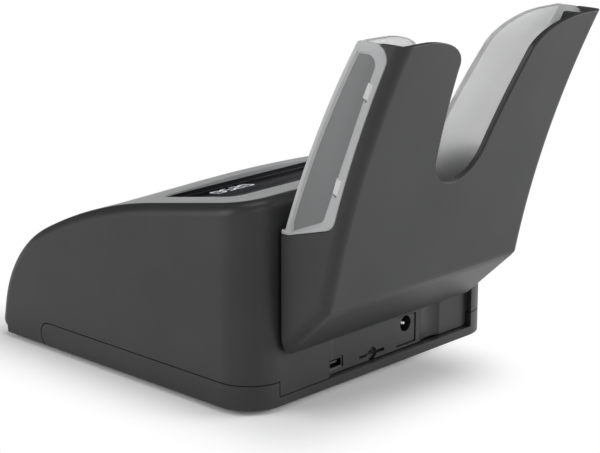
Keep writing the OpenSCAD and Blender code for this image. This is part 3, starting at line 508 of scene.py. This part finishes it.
def sharper(least):
    """Weighs the edges that are sharper than an angle, for rounding."""
    return lambda edge, a, b: 1.0 if sharp(edge, least) else 0.0


round_edges(cell, 0.3, 2, sharper(60))


def bends_with_cell(piece, name, finish, slot, node):
    """Slices a piece across the webs, between the fixed and the free end, then names and coats it."""
    work = bmesh.new()
    work.from_mesh(piece.data)
    for i in range(bend_steps + 1):
        y = cell_middle + bend_half * (2 * i / bend_steps - 1)
        bmesh.ops.bisect_plane(work, geom=work.verts[:] + work.edges[:] + work.faces[:],
                               plane_co=point(0, y, cell_axis), plane_no=(0, 1, 0))
    work.to_mesh(piece.data)
    work.free()
    coat(smooth(piece, name), finish, slot, node)
    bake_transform(piece)


milled_aluminium = metal("milled_aluminium", (0.74, 0.75, 0.76), 0.34, 600)
bends_with_cell(cell, "load_cell_beam", milled_aluminium, "aluminium", "load_cell")
paint(milled_aluminium, "cell_mount", "tray_carrier")
gauge_x, gauge_y, gauge_z = box_of("strain_gauges")
gauge_thick = cell_bottom - gauge_z[0]
gauge_long = gauge_y[1] - gauge_y[0] - cell_size
patches = []
for y in (cell_middle - cell_size / 2, cell_middle + cell_size / 2):
    for low in (cell_bottom - gauge_thick, cell_top):
        patch = block(gauge_x, (y - gauge_long / 2, y + gauge_long / 2), (low, low + gauge_thick))
        patches.append(round_edges(patch, gauge_thick * 0.25, 2, lambda edge, a, b: 1.0))
gauges = join(patches[0], patches[1:])
gauge_foil = metal("gauge_foil", (0.62, 0.42, 0.16), 0.35, 1500)
bends_with_cell(gauges, "gauge_patches", gauge_foil, "gauge_foil", "strain_gauges")
paint(gauge_foil, "battery_contacts")
cable_jacket = plastic("cable_jacket", (0.028, 0.028, 0.03), 0.55, 1500, 0.00001)
paint(cable_jacket, "cell_cable")


# Battery: a pack in shrink film that lies over a door in the floor, with two sprung contacts behind it.
# The door is a charcoal moulding that swings down about its front edge and is pressed shut at the rear.
shrink_film = plastic("shrink_film", (0.03, 0.08, 0.15), 0.22, 300, 0.00004)
paint(shrink_film, "battery_pack")
paint(charcoal_plastic, "battery_door")


# Top housing: the wedge that shows from every side, moulded in the same textured charcoal ABS.
# Its rear wall has a shallow bay for the sockets, and a window for the arm that carries the tray.
# Four screws from below pull the bottom shell against towers inside it.
cut(housing, body_form(wall, -3), cut(skirt(seam), drop(seam)))
bay_thick = (-bay_depth - wall, -wall / 2)
join(housing, [block((bay_left + seam, bay_right + wall), bay_thick, (bay_low + seam, skirt_top + 1)),
               block((bay_left - wall, bay_right + wall), bay_thick, (skirt_top + seam, bay_high + wall))])
bay_end = 8.0
bay_plan = [(bay_left, 5), (bay_left, -bay_depth)]
bay_reach = sqrt(bay_end ** 2 - (bay_end - bay_depth) ** 2)
for i in range(13):
    y = -bay_depth + bay_depth * (i / 12) ** 2
    bay_plan.append((bay_right - bay_reach + sqrt(bay_end ** 2 - (bay_end - bay_depth - y) ** 2), y))
bay_plan.append((bay_right, 5))
cut(housing, prism(bay_plan, "z", bay_low, bay_high))
board_top, card_x, data_x, jack_x = 7.3, 1.7, 22.7, -18.8
through = (-bay_depth - wall - 1, 1)
for x, half, low, high in ((data_x, 4.25, 0, 4.7), (card_x, 7.3, 0.4, 1.7), (jack_x, 5.9, -0.4, 11.7)):
    cut(housing, block((x - half, x + half), through, (board_top + low, board_top + high)))
thumb_radius, thumb_height, thumb_depth = 2.6, 0.95, 1.2
cut(housing, prism(ring(thumb_radius, card_x, board_top + thumb_height), "y", -bay_depth - thumb_depth, 1))
scallop_radius, scallop_x, scallop_depth = 13.98, -33.3, 1.5
scallop_y = scallop_radius - bay_depth - scallop_depth
cut(housing, rod(scallop_radius, scallop_x, scallop_y, bay_low, bay_high - 4, 90))
arm_half, arm_low, arm_high = 12, 37.7, 46.7
cut(housing, block((-arm_half, arm_half), (-wall - 1, 1), (arm_low, arm_high)))


def rounded_rectangle(x0, x1, y0, y1, radius, steps=10, straight=1):
    """Outline with round corners, with extra points along its straight sides."""
    outline = []
    corners = [arc(x, y, radius, first, first + 90, steps)
               for x, y, first in ((x1 - radius, y1 - radius, 0), (x0 + radius, y1 - radius, 90),
                                   (x0 + radius, y0 + radius, 180), (x1 - radius, y0 + radius, 270))]
    for corner, after in zip(corners, corners[1:] + corners[:1]):
        between = zip(*[stations(a, b, straight)[1:-1] for a, b in zip(corner[-1], after[0])])
        outline += corner + list(between)
    return outline


frame_half, frame_front, frame_rear, frame_radius = 67.0, -122.86, -6.6, 10.0
pocket_room, pocket_low, pocket_high = 0.25, 30, 130
pocket = rounded_rectangle(-frame_half - pocket_room, frame_half + pocket_room, frame_front - pocket_room,
                           frame_rear + pocket_room, frame_radius + pocket_room)
cut(housing, prism(pocket, "z", pocket_low, pocket_high))
for x, y in tower_spots:
    join(housing, [keep(rod(tower_radius, x, y, tower_low + 0.3, tower_high), body_form(wall / 2, 2))])
    cut(housing, rod(1.56, x, y, 6, 24))
smooth(housing, "top_housing_moulding")
dress(housing, charcoal_plastic, "base", "housing_plastic", "top_housing")


# Frame round the panel: one thin plate that follows the curved top, moulded and lacquered satin silver.
# It drops into a pocket of the top housing with a fine dark gap round it and rises to a low crown over the
# brow. It has six holes for the keys and an opening for the display, whose walls are black as painted
# shade.
frame_thick, frame_side, frame_back, display_long = 2.0, 11.5, 16.0, 41.4
crown_most, crown_rear, crown_fore = 2.0, (-50.0, -70.0), (-105.0, -70.0)
display_rear = frame_rear - frame_back
display_front = display_rear - display_long
display_half = frame_half - frame_side
key_slope = 25.5
key_middle = brow_centre + brow_radius * slope_normal(key_slope)
key_step, key_width, key_length, key_corner, key_room = 18.0, 14.0, 9.0, 2.0, 0.35
key_middles = [(i - 2.5) * key_step for i in range(6)]


def top_height(y):
    """Height of the body's top at a distance behind the rear wall."""
    if y >= flat_start.x:
        return flat_height(y)
    for centre, radius, steep in ((brow_centre, brow_radius, brow_slope),
                                  (nose_centre, nose_radius, front_slope)):
        if y >= centre.x - radius * sin(radians(steep)):
            return centre.y + sqrt(radius ** 2 - (y - centre.x) ** 2)
    return nose_height


def top_steepness(y):
    return hypot(1, (top_height(y + 0.05) - top_height(y - 0.05)) / 0.1)


def ease(start, end, at):
    t = min(max((at - start) / (end - start), 0), 1)
    return t * t * (3 - 2 * t)


def crowned(x, y):
    """Height of the frame's upper face."""
    rise = crown_most * ease(*crown_rear, y) * ease(*crown_fore, y)
    return top_height(y) + rise * (1 - min(abs(x) / frame_half, 1) ** 2) ** 2


def leaning(y, z, lean):
    """A frame that leans back about the width: it places points given as across, back and up in it."""
    c, s = cos(lean), sin(lean)
    return lambda x, v, w: point(x, y + v * c + w * s, z - v * s + w * c)


on_keys = leaning(*key_middle, -radians(key_slope))
on_flat = leaning(*flat_start, -radians(top_slope))


def plate_rim(inset, below):
    return rounded_rectangle(inset - frame_half, frame_half - inset, frame_front + inset,
                             frame_rear - inset, frame_radius - inset, 12, 50)


def display_rim(inset, below):
    return rounded_rectangle(-display_half - inset, display_half + inset, display_front - inset,
                             display_rear + inset, frame_radius / 2 + inset, 10, 40)


def key_rim(middle):
    """Rim of a key's hole, which runs square to the slope of the keys."""
    a = radians(key_slope)

    def rim(inset, below):
        room = key_room + inset
        wide, long = key_width / 2 + room, key_length / 2 + room
        hole = rounded_rectangle(middle - wide, middle + wide, -long, long, key_corner + room, 6, 6)
        return [(x, key_middle.x + v * cos(a) + below * sin(a)) for x, v in hole]
    return rim


def holds(loop, spot):
    """Whether a closed loop of points lies round a spot, seen from above."""
    within = False
    for a, b in zip(loop, loop[1:] + loop[:1]):
        if (a.co.y > spot.y) != (b.co.y > spot.y):
            within ^= spot.x < a.co.x + (b.co.x - a.co.x) * (spot.y - a.co.y) / (b.co.y - a.co.y)
    return within


def web(work, loops, spots):
    """Fills the area between closed loops of points with triangles over the given spots."""
    verts, edges = [], []
    for loop in loops:
        first = len(verts)
        verts += loop
        edges += [(first + i, first + (i + 1) % len(loop)) for i in range(len(loop))]
    verts += spots
    flat = [Vector((v.co.x * 1000, v.co.y * 1000)) for v in verts]
    found = delaunay_2d_cdt(flat, edges, [], 1, 1e-5)
    for corners in found[2]:
        face = [verts[found[3][c][0]] for c in corners]
        middle = sum((v.co for v in face), Vector()) / 3
        if not any(holds(loop, middle) for loop in loops[1:]):
            work.faces.new(face)


def under_plate(x, y):
    return top_height(y) - frame_thick * top_steepness(y)


def painted_shade_top(x, y):
    """How far up the painted shade on the walls of the display's opening reaches."""
    return min(top_height(y) - 0.3, crowned(x, y) - 0.7)


def dots(work, spots, height, below=0.0):
    return [work.verts.new(point(x, y, height(x, y) - below)) for x, y in spots]


work = bmesh.new()
upper, lower = [], []
for rim in [plate_rim, display_rim] + [key_rim(x) for x in key_middles]:
    rows = [dots(work, rim(0, frame_thick), under_plate)]
    if rim is display_rim:
        rows.append(dots(work, rim(0, 0), painted_shade_top))
    edge = 0.15 if rim is display_rim else 0.5
    for inset, below in ((0, edge), (0.3 * edge, 0.3 * edge), (edge, 0)):
        rows.append(dots(work, rim(inset, 0), crowned, below))
    walls = [band(work, a, b) for a, b in zip(rows, rows[1:])]
    # The lowest band of the opening's wall takes the panel's black: painted shade inside the display
    # opening.
    if rim is display_rim:
        for face in walls[0]:
            face.material_index = 1
    lower.append(rows[0])
    upper.append(rows[-1])
key_y = [p[1] for p in key_rim(0)(0, 0)]
spots = []
pitch, margin, across, along = 2.5, 1.8, 26, 46
for i in range(-across, across + 1):
    for k in range(along):
        x, y = i * pitch, frame_front + (k + 1) * pitch
        corner = hypot(max(abs(x) - frame_half + frame_radius, 0),
                            max(y - frame_rear + frame_radius, frame_front + frame_radius - y, 0))
        on_display = abs(x) < display_half + margin and display_front - margin < y < display_rear + margin
        on_key = (min(abs(x - middle) for middle in key_middles) < key_width / 2 + key_room + margin
                  and min(key_y) - margin < y < max(key_y) + margin)
        if corner < frame_radius - margin and not on_display and not on_key:
            spots.append((x, y))
web(work, upper, dots(work, spots, crowned))
web(work, lower, dots(work, spots, under_plate))
silver_lacquer = tune(plastic("silver_lacquer", (0.50, 0.504, 0.51), 0.46, 3500, 0.000006, 0.04),
                      {"Metallic": 0.15, "Specular IOR Level": 0.3})
panel_black_and_painted_shade = plastic("panel_black_and_painted_shade", (0.010, 0.010, 0.012), 0.35, 2400, 0.000006)
silver_frame = smooth(blank(work), "silver_frame")
coats = [face.material_index for face in silver_frame.data.polygons]
dress(silver_frame, silver_lacquer, "base", "silver_frame", "bezel_frame")
# The panel's black is the second finish: painted shade on the walls of the display opening.
silver_frame.data.materials.append(panel_black_and_painted_shade)
silver_frame.data.polygons.foreach_set("material_index", coats)


# Panel and display window: a black insert below the frame guides the keys and holds the window.
# The window is a smooth black acrylic plate, bonded into the insert over the liquid-crystal display.
paint(panel_black_and_painted_shade, "control_panel")
window_edge, window_low, window_top = 0.6, -3.85, -2.25
window_half = display_half - window_edge
window_front, window_rear = [(y - flat_start.x) / cos(radians(top_slope))
                             for y in (display_front + window_edge, display_rear - window_edge)]
window_plan = rounded_rectangle(-window_half, window_half, window_front, window_rear, 1.5, 6)
window = prism(window_plan, "z", window_low, window_top, on_flat)
round_edges(window, 0.3, 3, sharper(60))
black_glass = tune(plastic("black_glass", (0.005, 0.005, 0.009), 0.14, 60, 0.000002),
                   {"Specular IOR Level": 0.003})
dress(smooth(window, "display_glass"), black_glass, "base", "black_glass", "display_window")
lcd_glass = plastic("lcd_glass", (0.03, 0.04, 0.06), 0.15, 200, 0.000004)
paint(lcd_glass, "lcd_module")


# Figures on the display: seven-segment digits and a row of plain symbols, as the display lights them.
# Each segment is a thin bar with pointed ends, white and a little uneven.
def bar(work, start, end, thick, low, high, place):
    """A flat bar with pointed ends, added to a mesh."""
    a, b = Vector(start), Vector(end)
    tip = (b - a).normalized() * thick / 2
    side = Vector((-tip.y, tip.x))
    outline = [a, a + tip + side, b - tip + side, b, b - tip - side, a + tip - side]
    ends = [[work.verts.new(place(p.x, p.y, t)) for p in outline] for t in (low, high)]
    work.faces.new(ends[0])
    work.faces.new(ends[1])
    band(work, *ends)


segments = {"a": ((0, 2), (1, 2)), "b": ((1, 2), (1, 1)), "c": ((1, 1), (1, 0)), "d": ((0, 0), (1, 0)),
            "e": ((0, 1), (0, 0)), "f": ((0, 2), (0, 1)), "g": ((0, 1), (1, 1))}
digits = {"0": "abcdef", "1": "bc", "2": "abged", "5": "afgcd"}
figure_low, figure_high = window_top + 0.005, window_top + 0.03
figure_slant = 0.08
work = bmesh.new()
for figures, left, low, wide, tall, step, thick in (("1250", -50.0, 8.5, 5.5, 5.5, 9.5, 1.1),
                                                    ("0250", 16.5, -1.9, 3.4, 3.4, 5.0, 0.7)):
    for i, figure in enumerate(figures):
        for part in digits[figure]:
            ends = [(left + i * step + x * wide + y * tall * figure_slant, low + y * tall)
                    for x, y in segments[part]]
            bar(work, *ends, thick, figure_low, figure_high, on_flat)
for x, y, wide in ((-50, 23.5, 3.2), (-45, 23.5, 2.0), (-41.6, 23.5, 5.2), (-50, 27.8, 2.2),
                   (-46.2, 27.8, 4.6), (-40, 27.8, 3.2)):
    for up, part, thick in ((0, 1, 0.7), (1.5, 0.6, 0.5)):
        bar(work, (x, y + up), (x + wide * part, y + up), thick, figure_low, figure_high, on_flat)
segment_white = tune(plastic("segment_white", (0.80, 0.82, 0.84), 0.4, 800, 0.000002),
                     {"Emission Color": (0.92, 0.95, 1.0, 1.0), "Emission Strength": 0.45})
dress(smooth(blank(work), "display_figures"), segment_white, "base", "lcd")


# Keys: six caps of grey silicone rubber that stand a little proud of the panel, on one dome sheet.
# Each cap has a soft edge and a hidden rim that keeps it in its hole, and a plain printed sign.
key_rubber = plastic("key_rubber", (0.10, 0.105, 0.11), 0.58, 1800, 0.00001)
key_print = plastic("key_print", (0.72, 0.73, 0.74), 0.5, 1200, 0.000004)
paint(key_rubber, "key_dome_sheet")
key_low, key_rim_top, key_top, key_rim_out, key_soft = -5.55, -4.75, 0.8, 1, 0.6
sign_thick, sign_low, sign_high = 0.5, key_top + 0.003, key_top + 0.03
key_out = Vector((0, *slope_normal(key_slope)))
loop_radius, loop_step, loop_starts = 1.5, 0.45, [0.6 + 0.46 * i for i in range(11)]
loop = [[(loop_radius * sin(a), loop_radius * cos(a)) for a in (start, start + loop_step)]
        for start in loop_starts]
signs = {
    "power": [((0, 0.3), (0, 2.0))] + loop,
    "menu": [((-1.8, y), (1.8, y)) for y in (-1.4, 0, 1.4)],
    "up": [((-1.7, -0.9), (0, 1.1)), ((0, 1.1), (1.7, -0.9))],
    "down": [((-1.7, 0.9), (0, -1.1)), ((0, -1.1), (1.7, 0.9))],
    "ok": [((-1.7, 0.1), (-0.5, -1.2)), ((-0.5, -1.2), (1.8, 1.4))],
    "clear": [((-1.4, -1.4), (1.4, 1.4)), ((-1.4, 1.4), (1.4, -1.4))],
}


def key_block(x, out, corner, top):
    wide, long = key_width / 2 + out, key_length / 2 + out
    return prism(rounded_rectangle(x - wide, x + wide, -long, long, corner, 8), "z", key_low, top, on_keys)


def key_edge(edge, a, b):
    """Weight of the edge round a cap's top."""
    return 1.0 if sharp(edge, 60) and max(a.dot(key_out), b.dot(key_out)) > 0.9 else 0.0


for (name, lines), x in zip(signs.items(), key_middles):
    cap = round_edges(key_block(x, 0, key_corner, key_top), key_soft, 4, key_edge)
    join(cap, [key_block(x, key_rim_out, key_corner + key_rim_out, key_rim_top)])
    dress(smooth(cap, name + "_key_cap"), key_rubber, name + "_key", "key_rubber", name + "_key")
    work = bmesh.new()
    for ends in lines:
        bar(work, *[(x + u, v) for u, v in ends], sign_thick, sign_low, sign_high, on_keys)
    dress(smooth(blank(work), name + "_key_sign"), key_print, name + "_key", "key_rubber")


# Tray back: the dark rear half of the note tray, a deep charcoal ABS moulding that hangs on the carrier.
# It leans back in a hollow curve with soft corners, its underside slopes in to the rear wall, and a
# U-notch lets fingers reach in.
tray_half, tray_top, tray_low, tray_gap, tray_wall = 57.0, 143.0, 22.0, 2.0, 2.2
fold_height, fold_reach, mean_lean, back_bow = 42.0, 23.3, 19.3, 3.7
front_low, front_reach, front_lean, front_radius = 70.6, 3.8, 19.0, 380.0
note_floor = 50.5
bevel_lean = atan2(fold_reach - tray_gap, fold_height - tray_low)
bevel_depth = tray_wall / cos(bevel_lean)
front_centre = Vector((front_reach + front_radius * cos(radians(front_lean)),
                       front_low - front_radius * sin(radians(front_lean))))
tray_inside, back_height = tray_half - tray_wall, tray_top - fold_height


def back_y(z):
    """The hollow curve of the tray's back, seen from the side."""
    up = (z - fold_height) / back_height
    return fold_reach + up * back_height * tan(radians(mean_lean)) - 4 * back_bow * up * (1 - up)


def back_lean(z):
    up = (z - fold_height) / back_height
    return atan(tan(radians(mean_lean)) - 4 * back_bow * (1 - 2 * up) / back_height)


def inside_back(z, depth):
    """A point of the side outline that lies a depth inside the tray's back."""
    return back_y(z) - depth / cos(back_lean(z)), z


def front_y(z, inset=0.0):
    return front_centre.x - sqrt((front_radius - inset) ** 2 - (z - front_centre.y) ** 2)


def tray_outline(inset, low, high):
    """Side outline of the two curves of the tray, up the front and down the back."""
    return ([(front_y(z, inset), z) for z in stations(front_low, high, curve_steps)]
            + [inside_back(z, inset) for z in stations(high, low, curve_steps)])


curve_steps, pocket_top = 24, tray_top + 3
tray_side = [(tray_gap, tray_low), (tray_gap, front_low)] + tray_outline(0, fold_height, tray_top)
pocket_side = [(tray_gap + tray_wall, note_floor), (tray_gap + tray_wall, front_low - tray_wall)]
pocket_side += tray_outline(tray_wall, note_floor, pocket_top)
ceiling = note_floor - tray_wall
fold_lean = back_lean(fold_height)
inner_fold = fold_height + ((bevel_depth - tray_wall / cos(fold_lean))
                            / (tan(bevel_lean) - tan(fold_lean)))
hollow_side = [(-1, ceiling), inside_back(ceiling, tray_wall), inside_back(inner_fold, tray_wall),
               (-1, fold_height - (fold_reach + 1 - bevel_depth) / tan(bevel_lean))]
strip_low, strip_foot_y, strip_rise = front_low - 1.7, front_reach + 1.5, 15.4
strip_corner, strip_room = 6.0, 0.2
rear_corner, top_corner = 4.5, 5.0


def strip_rear(z):
    return inside_back(z, rear_corner)[0]


foot_rise = tan(radians(strip_rise))
strip_corner_z = strip_low + ((strip_rear(strip_low) - strip_foot_y) * foot_rise
                              / (1 - tan(back_lean(strip_low)) * foot_rise))


def rounded_corner(a, p, b, radius, steps=10):
    """Points of a round corner at p, between its neighbours a and b."""
    a, p, b = Vector(a), Vector(p), Vector(b)
    u, v = (a - p).normalized(), (b - p).normalized()
    half = u.angle(v) / 2
    centre = p + (u + v).normalized() * radius / sin(half)
    first, last = p + u * radius / tan(half) - centre, p + v * radius / tan(half) - centre
    return [tuple(centre + first.slerp(last, i / steps).normalized() * radius) for i in range(steps + 1)]


def strip_side(grow, top):
    """Side outline of a side strip, grown by grow."""
    far = -30.0
    start = (strip_foot_y, strip_low - grow)
    corner = (strip_rear(strip_corner_z) + grow, strip_corner_z - grow)
    edge = [(strip_rear(z) + grow, z) for z in stations(corner[1], top, 8)[1:]]
    outline = [(far, top), (far, start[1]), start] + rounded_corner(start, corner, edge[0], strip_corner)
    return outline + edge[:-1] + rounded_corner(edge[-2], edge[-1], (far, top), top_corner)


notch_radius, notch_low, notch_flare, shoulder_height, shoulder_width = 14.0, 83.2, 10.5, 12.5, 25.4
notch_centre = notch_low + notch_radius
flare = tan(radians(notch_flare))
shoulder_z = tray_top - shoulder_height
shoulder_x = notch_radius / cos(radians(notch_flare)) + (shoulder_z - notch_centre) * flare
notch_half = arc(0, notch_centre, notch_radius, -90, -notch_flare, 20)
notch_half += [(shoulder_x + shoulder_width * (1 - cos(a)), shoulder_z + shoulder_height * sin(a))
               for a in map(radians, stations(0, 90, 16))]
notch_half.append((shoulder_x + shoulder_width, tray_top + 8))
notch_outline = notch_half + [(-x, z) for x, z in reversed(notch_half[1:])]


def notch():
    return prism(notch_outline, "y", -40, 120)


def soft_outline(radius):
    return round_rear(tray_half, radius, 0, -past_side, 12)


def soft_back(radius):
    """The deep block, swept along the hollow curve of the tray's back and past both its ends."""
    rows = []
    for i in range(-12, curve_steps + 7):
        z = fold_height + back_height * i / curve_steps
        place = leaning(back_y(z), z, back_lean(z))
        rows.append([place(x, v, 0) for x, v in soft_outline(radius)])
    return loft(rows)


on_under = leaning(fold_reach, fold_height, bevel_lean)
fold_radius, under_corner = 9.0, 6.0
soft_side = tray_side[:-1] + rounded_corner(tray_side[-2], tray_side[-1], tray_side[0], fold_radius)
back = keep(slab(soft_side, tray_half), soft_back(rear_corner),
            prism(soft_outline(under_corner), "z", -past_front, past_front, on_under))
cut(back, slab(pocket_side, tray_inside), slab(hollow_side, tray_inside),
    slab(strip_side(strip_room, tray_top + strip_room), past_side), notch())


def back_rim(edge, a, b):
    """Weight of the edges that lie in the tray's outer back: the notch and the top."""
    def out(vert):
        return (vert.co.y - rear_wall) * 1000 - back_y(vert.co.z * 1000)
    return 1.0 if sharp(edge, 55) and all(abs(out(vert)) < 0.05 for vert in edge.verts) else 0.0


round_edges(back, 0.6, 4, back_rim)
flange_out, flange_thick, flange_long, into_wall = tray_inside - 0.25, 2.0, 10.5, 0.5
flange_ends = stations(strip_corner_z + 8, tray_top - 2, 8)
flange = [inside_back(z, tray_wall - into_wall) for z in flange_ends]
flange += [inside_back(z, tray_wall + flange_long) for z in reversed(flange_ends)]
hanger_in, hanger_out, hanger_y, hanger_low = 30.35, 32.35, (3.7, 13), 39.7
for side in (-1, 1):
    flange_x = sorted((side * flange_out, side * (flange_out - flange_thick)))
    hanger_x = sorted((side * hanger_in, side * hanger_out))
    join(back, [prism(flange, "x", *flange_x),
                block(hanger_x, hanger_y, (hanger_low, ceiling + into_wall))])
dress(smooth(back, "tray_back_moulding"), charcoal_plastic, "tray", "housing_plastic", "tray_back")


# Tray front: the frosted half of the tray, a curved plate with a strip that wraps round each side.
# It is moulded in milky polycarbonate; two windows in each strip snap over catches of the tray back.
front = keep(slab(tray_side, tray_half), slab(strip_side(0, tray_top - 0.02), past_side))
cut(front, slab(pocket_side, tray_inside), notch())
round_edges(front, 0.35, 3, sharper(50))
strip_sink, panel_corner = 0.8, 3.0
rim_rear, rim_top, rim_front, rim_low, rim_slope = 5.2, 4.2, 2.4, 2.0, 1.0
clip_width, clip_height, clip_in, clip_room = 3.0, 7.0, 3.4, 0.3
clip_heights = (front_low + 19.9, tray_top - 16.9)
catches = []


def sunk_panel(grow):
    """Side outline of the panel sunk into a strip, grown by grow."""
    top = tray_top - rim_top + grow
    fore = [(front_y(z, rim_front) - grow, z) for z in stations(top, strip_low + rim_low, 20)]
    foot = fore[-1][0] + 1.0, strip_low + rim_low - grow
    corner = strip_rear(strip_corner_z) - rim_rear + grow, strip_corner_z + rim_low - grow
    last = strip_rear(top) - rim_rear + grow, top
    return (fore[:-1] + [foot] + rounded_corner(foot, corner, last, panel_corner)
            + rounded_corner(corner, last, fore[0], panel_corner))


for side in (-1, 1):
    sink = [(tray_half - strip_sink, sunk_panel(0)), (tray_half + strip_sink, sunk_panel(2 * rim_slope))]
    cut(front, loft([[point(side * x, y, z) for y, z in outline] for x, outline in sink]))
    for z in clip_heights:
        on_clip = leaning(strip_rear(z) - clip_in / cos(back_lean(z)), z, back_lean(z))

        def clip(low, high, room):
            wide, tall = clip_width / 2 - room, clip_height / 2 - room
            return block(sorted((side * low, side * high)), (-wide, wide), (-tall, tall), on_clip)
        cut(front, clip(tray_inside - 1, tray_half + 1, 0))
        catches.append(clip(tray_inside - 0.7, tray_half - 0.6, clip_room))


def frosted(name, colour, deep):
    """Milky polycarbonate: light goes a little way in, and the skin is evenly matt."""
    return tune(plastic(name, colour, 0.45, 1800, 0.00001, 0.05),
                {"Subsurface Weight": deep, "Subsurface Radius": (1.0, 1.0, 1.0), "Subsurface Scale": 0.01})


milky = tune(frosted("milky_polycarbonate", (0.92, 0.922, 0.925), 1.0),
             {"Transmission Weight": 0.75, "IOR": 1.2})
# Darker copies of the frosted finish for the side strips: painted shade of the dark tray back behind the
# thin strips, darkest on the sunk panels.
rim_painted_shade = frosted("rim_painted_shade", (0.42, 0.424, 0.43), 0.3)
panel_painted_shade = frosted("panel_painted_shade", (0.15, 0.152, 0.155), 0.2)
# A light copy of the frosted finish for the catches: painted highlight in the clip windows.
catch_painted_highlight = frosted("catch_painted_highlight", (0.78, 0.784, 0.79), 0.5)
dress(smooth(front, "tray_front_moulding"), milky, "tray", "frosted_plastic", "tray_front")
# The catches stand as separate light pieces, a painted highlight in the clip windows.
for number, catch in enumerate(catches, 1):
    round_edges(catch, 0.25, 3, lambda edge, a, b: 1.0)
    dress(smooth(catch, "tray_catch_%d" % number), catch_painted_highlight, "tray", "frosted_plastic")
# Faces of the side strips take the darker copies: painted shade on the rims, and deeper painted shade on
# the sunk panels.
front.data.materials.append(rim_painted_shade)
front.data.materials.append(panel_painted_shade)
for face in front.data.polygons:
    out = abs(face.center.x) * 1000
    on_panel = abs(face.normal.x) > 0.9 and abs(out - tray_half + strip_sink) < 0.1
    if out > tray_inside + 0.3:
        face.material_index = 2 if on_panel else 1


# Stage: a white table top and a white surround, lit by four softboxes: from above, from behind the tray,
# and from the left and the right of the camera's view. The table keeps the soft shadow next to the object
# and goes over to plain white further off.
reach = 3
table_mesh = bpy.data.meshes.new("table_top")
table_mesh.from_pydata([(x, y, 0) for x, y in rectangle(-reach, reach, -reach, reach)], [], [(0, 1, 2, 3)])
table = put_in("table_top", table_mesh)
table_white, tree, ways = new_finish("table_white")
tree.nodes.remove(tree.nodes["Principled BSDF"])


def work_out(tree, how, *values, kind="Math"):
    """A node that works out a number or a vector from outputs of other nodes and plain values."""
    node = tree.nodes.new("ShaderNode" + kind)
    node.operation = how
    return set_sockets(tree, node, dict(enumerate(values))).outputs


def larger(tree, a, b):
    return work_out(tree, "MAXIMUM", a, b)["Value"]


def product(tree, a, b):
    return work_out(tree, "MULTIPLY", a, b)["Value"]


def ray_kinds(tree):
    """Rays from the camera, those with rays through glass, and those with mirrored rays too."""
    rays = add_node(tree, "LightPath", {})
    seen = larger(tree, rays["Is Camera Ray"], rays["Is Transmission Ray"])
    return rays["Is Camera Ray"], seen, larger(tree, seen, rays["Is Glossy Ray"])


direct, seen, mirrored = ray_kinds(tree)
shade_middle, shade_half, shade_reach = (0.0255, -0.0225, 0.0), (0.0405, 0.0775, 0.0), 0.042
for how, values in (("SUBTRACT", [shade_middle]), ("ABSOLUTE", []), ("SUBTRACT", [shade_half]),
                    ("MAXIMUM", [(0, 0, 0)])):
    ways = work_out(tree, how, ways, *values, kind="VectorMath")["Vector"]
off = work_out(tree, "LENGTH", ways, kind="VectorMath")["Value"]
fade = tree.nodes.new("ShaderNodeMapRange")
fade.interpolation_type = "SMOOTHSTEP"
set_sockets(tree, fade, {"Value": off, "From Min": 0.0, "From Max": shade_reach})
skin = add_node(tree, "BsdfDiffuse", {"Color": (0.86, 0.86, 0.86, 1)})["BSDF"]
lift = add_node(tree, "BsdfDiffuse", {"Color": product(tree, direct, 0.20)})["BSDF"]
lit = add_node(tree, "AddShader", {0: skin, 1: lift})["Shader"]
white = add_node(tree, "Emission", {})["Emission"]
whiteness = product(tree, fade.outputs["Result"], mirrored)
both = add_node(tree, "MixShader", {"Fac": whiteness, 1: lit, 2: white})["Shader"]
set_sockets(tree, tree.nodes["Material Output"], {"Surface": both})
table.data.materials.append(table_white)


world = bpy.data.worlds.new("studio")
bpy.context.scene.world = world
world.use_nodes = True
tree = world.node_tree
direct, seen, mirrored = ray_kinds(tree)
surround = add_node(tree, "TexCoord", {})["Generated"]
ways = add_node(tree, "SeparateXYZ", {"Vector": surround})
ambient = grade(tree, ways["Z"], 0.1, 0.7, 0.55, 0.15)
behind = product(tree, grade(tree, ways["Y"], -0.6, 0.4, 0.12, 1.0),
                 grade(tree, ways["Z"], 0.2, 0.6, 1.0, 0.25))
strength = grade(tree, mirrored, 0.0, 1.0, ambient, larger(tree, seen, behind))
set_sockets(tree, tree.nodes["Background"], {"Color": (1, 1, 1, 1), "Strength": strength})

for name, spot, target, size, power in (
        ("top_light", (0.02, 0.10, 0.85), (0, 0.02, 0.05), (0.5, 0.5), 2.2),
        ("left_light", (0.75, -0.40, 0.30), (0.05, -0.05, 0.05), (0.6, 0.5), 3.3),
        ("fill_light", (0.30, 0.90, 0.45), (0, 0.06, 0.10), (0.5, 0.5), 1.2),
        ("right_light", (-0.60, 0.60, 0.26), (0, 0.08, 0.10), (0.5, 0.4), 5.2)):
    lamp = bpy.data.lights.new(name, "AREA")
    lamp.shape = "RECTANGLE"
    lamp.size, lamp.size_y = size
    lamp.energy = power
    holder = put_in(name, lamp)
    holder.location = spot
    holder.rotation_euler = (Vector(target) - Vector(spot)).to_track_quat("-Z", "Y").to_euler()


# Camera: a long lens at the photograph's viewing angle, behind the scale and to its +X side.
# It stands above the tray and looks slightly down on it.
azimuth, elevation = radians(133.42), radians(15.60)
eye_spot = (0.5167, rear_wall + 0.4463, 0.2501)
film_width, focal_pixels, image_width = 36, 1854.58, 600
away = Vector((sin(azimuth) * cos(elevation), -cos(azimuth) * cos(elevation),
               sin(elevation)))
right = Vector((cos(azimuth), sin(azimuth), 0))
up = away.cross(right)
eye = bpy.data.cameras.new("photo_eye")
eye.sensor_width = film_width
eye.lens = film_width * focal_pixels / image_width
stand = put_in("photo_eye", eye)
turn = Matrix((right, up, away)).transposed().to_4x4()
stand.matrix_world = Matrix.Translation(eye_spot) @ turn
bpy.context.scene.camera = stand
bpy.context.scene.view_settings.view_transform = "Standard"
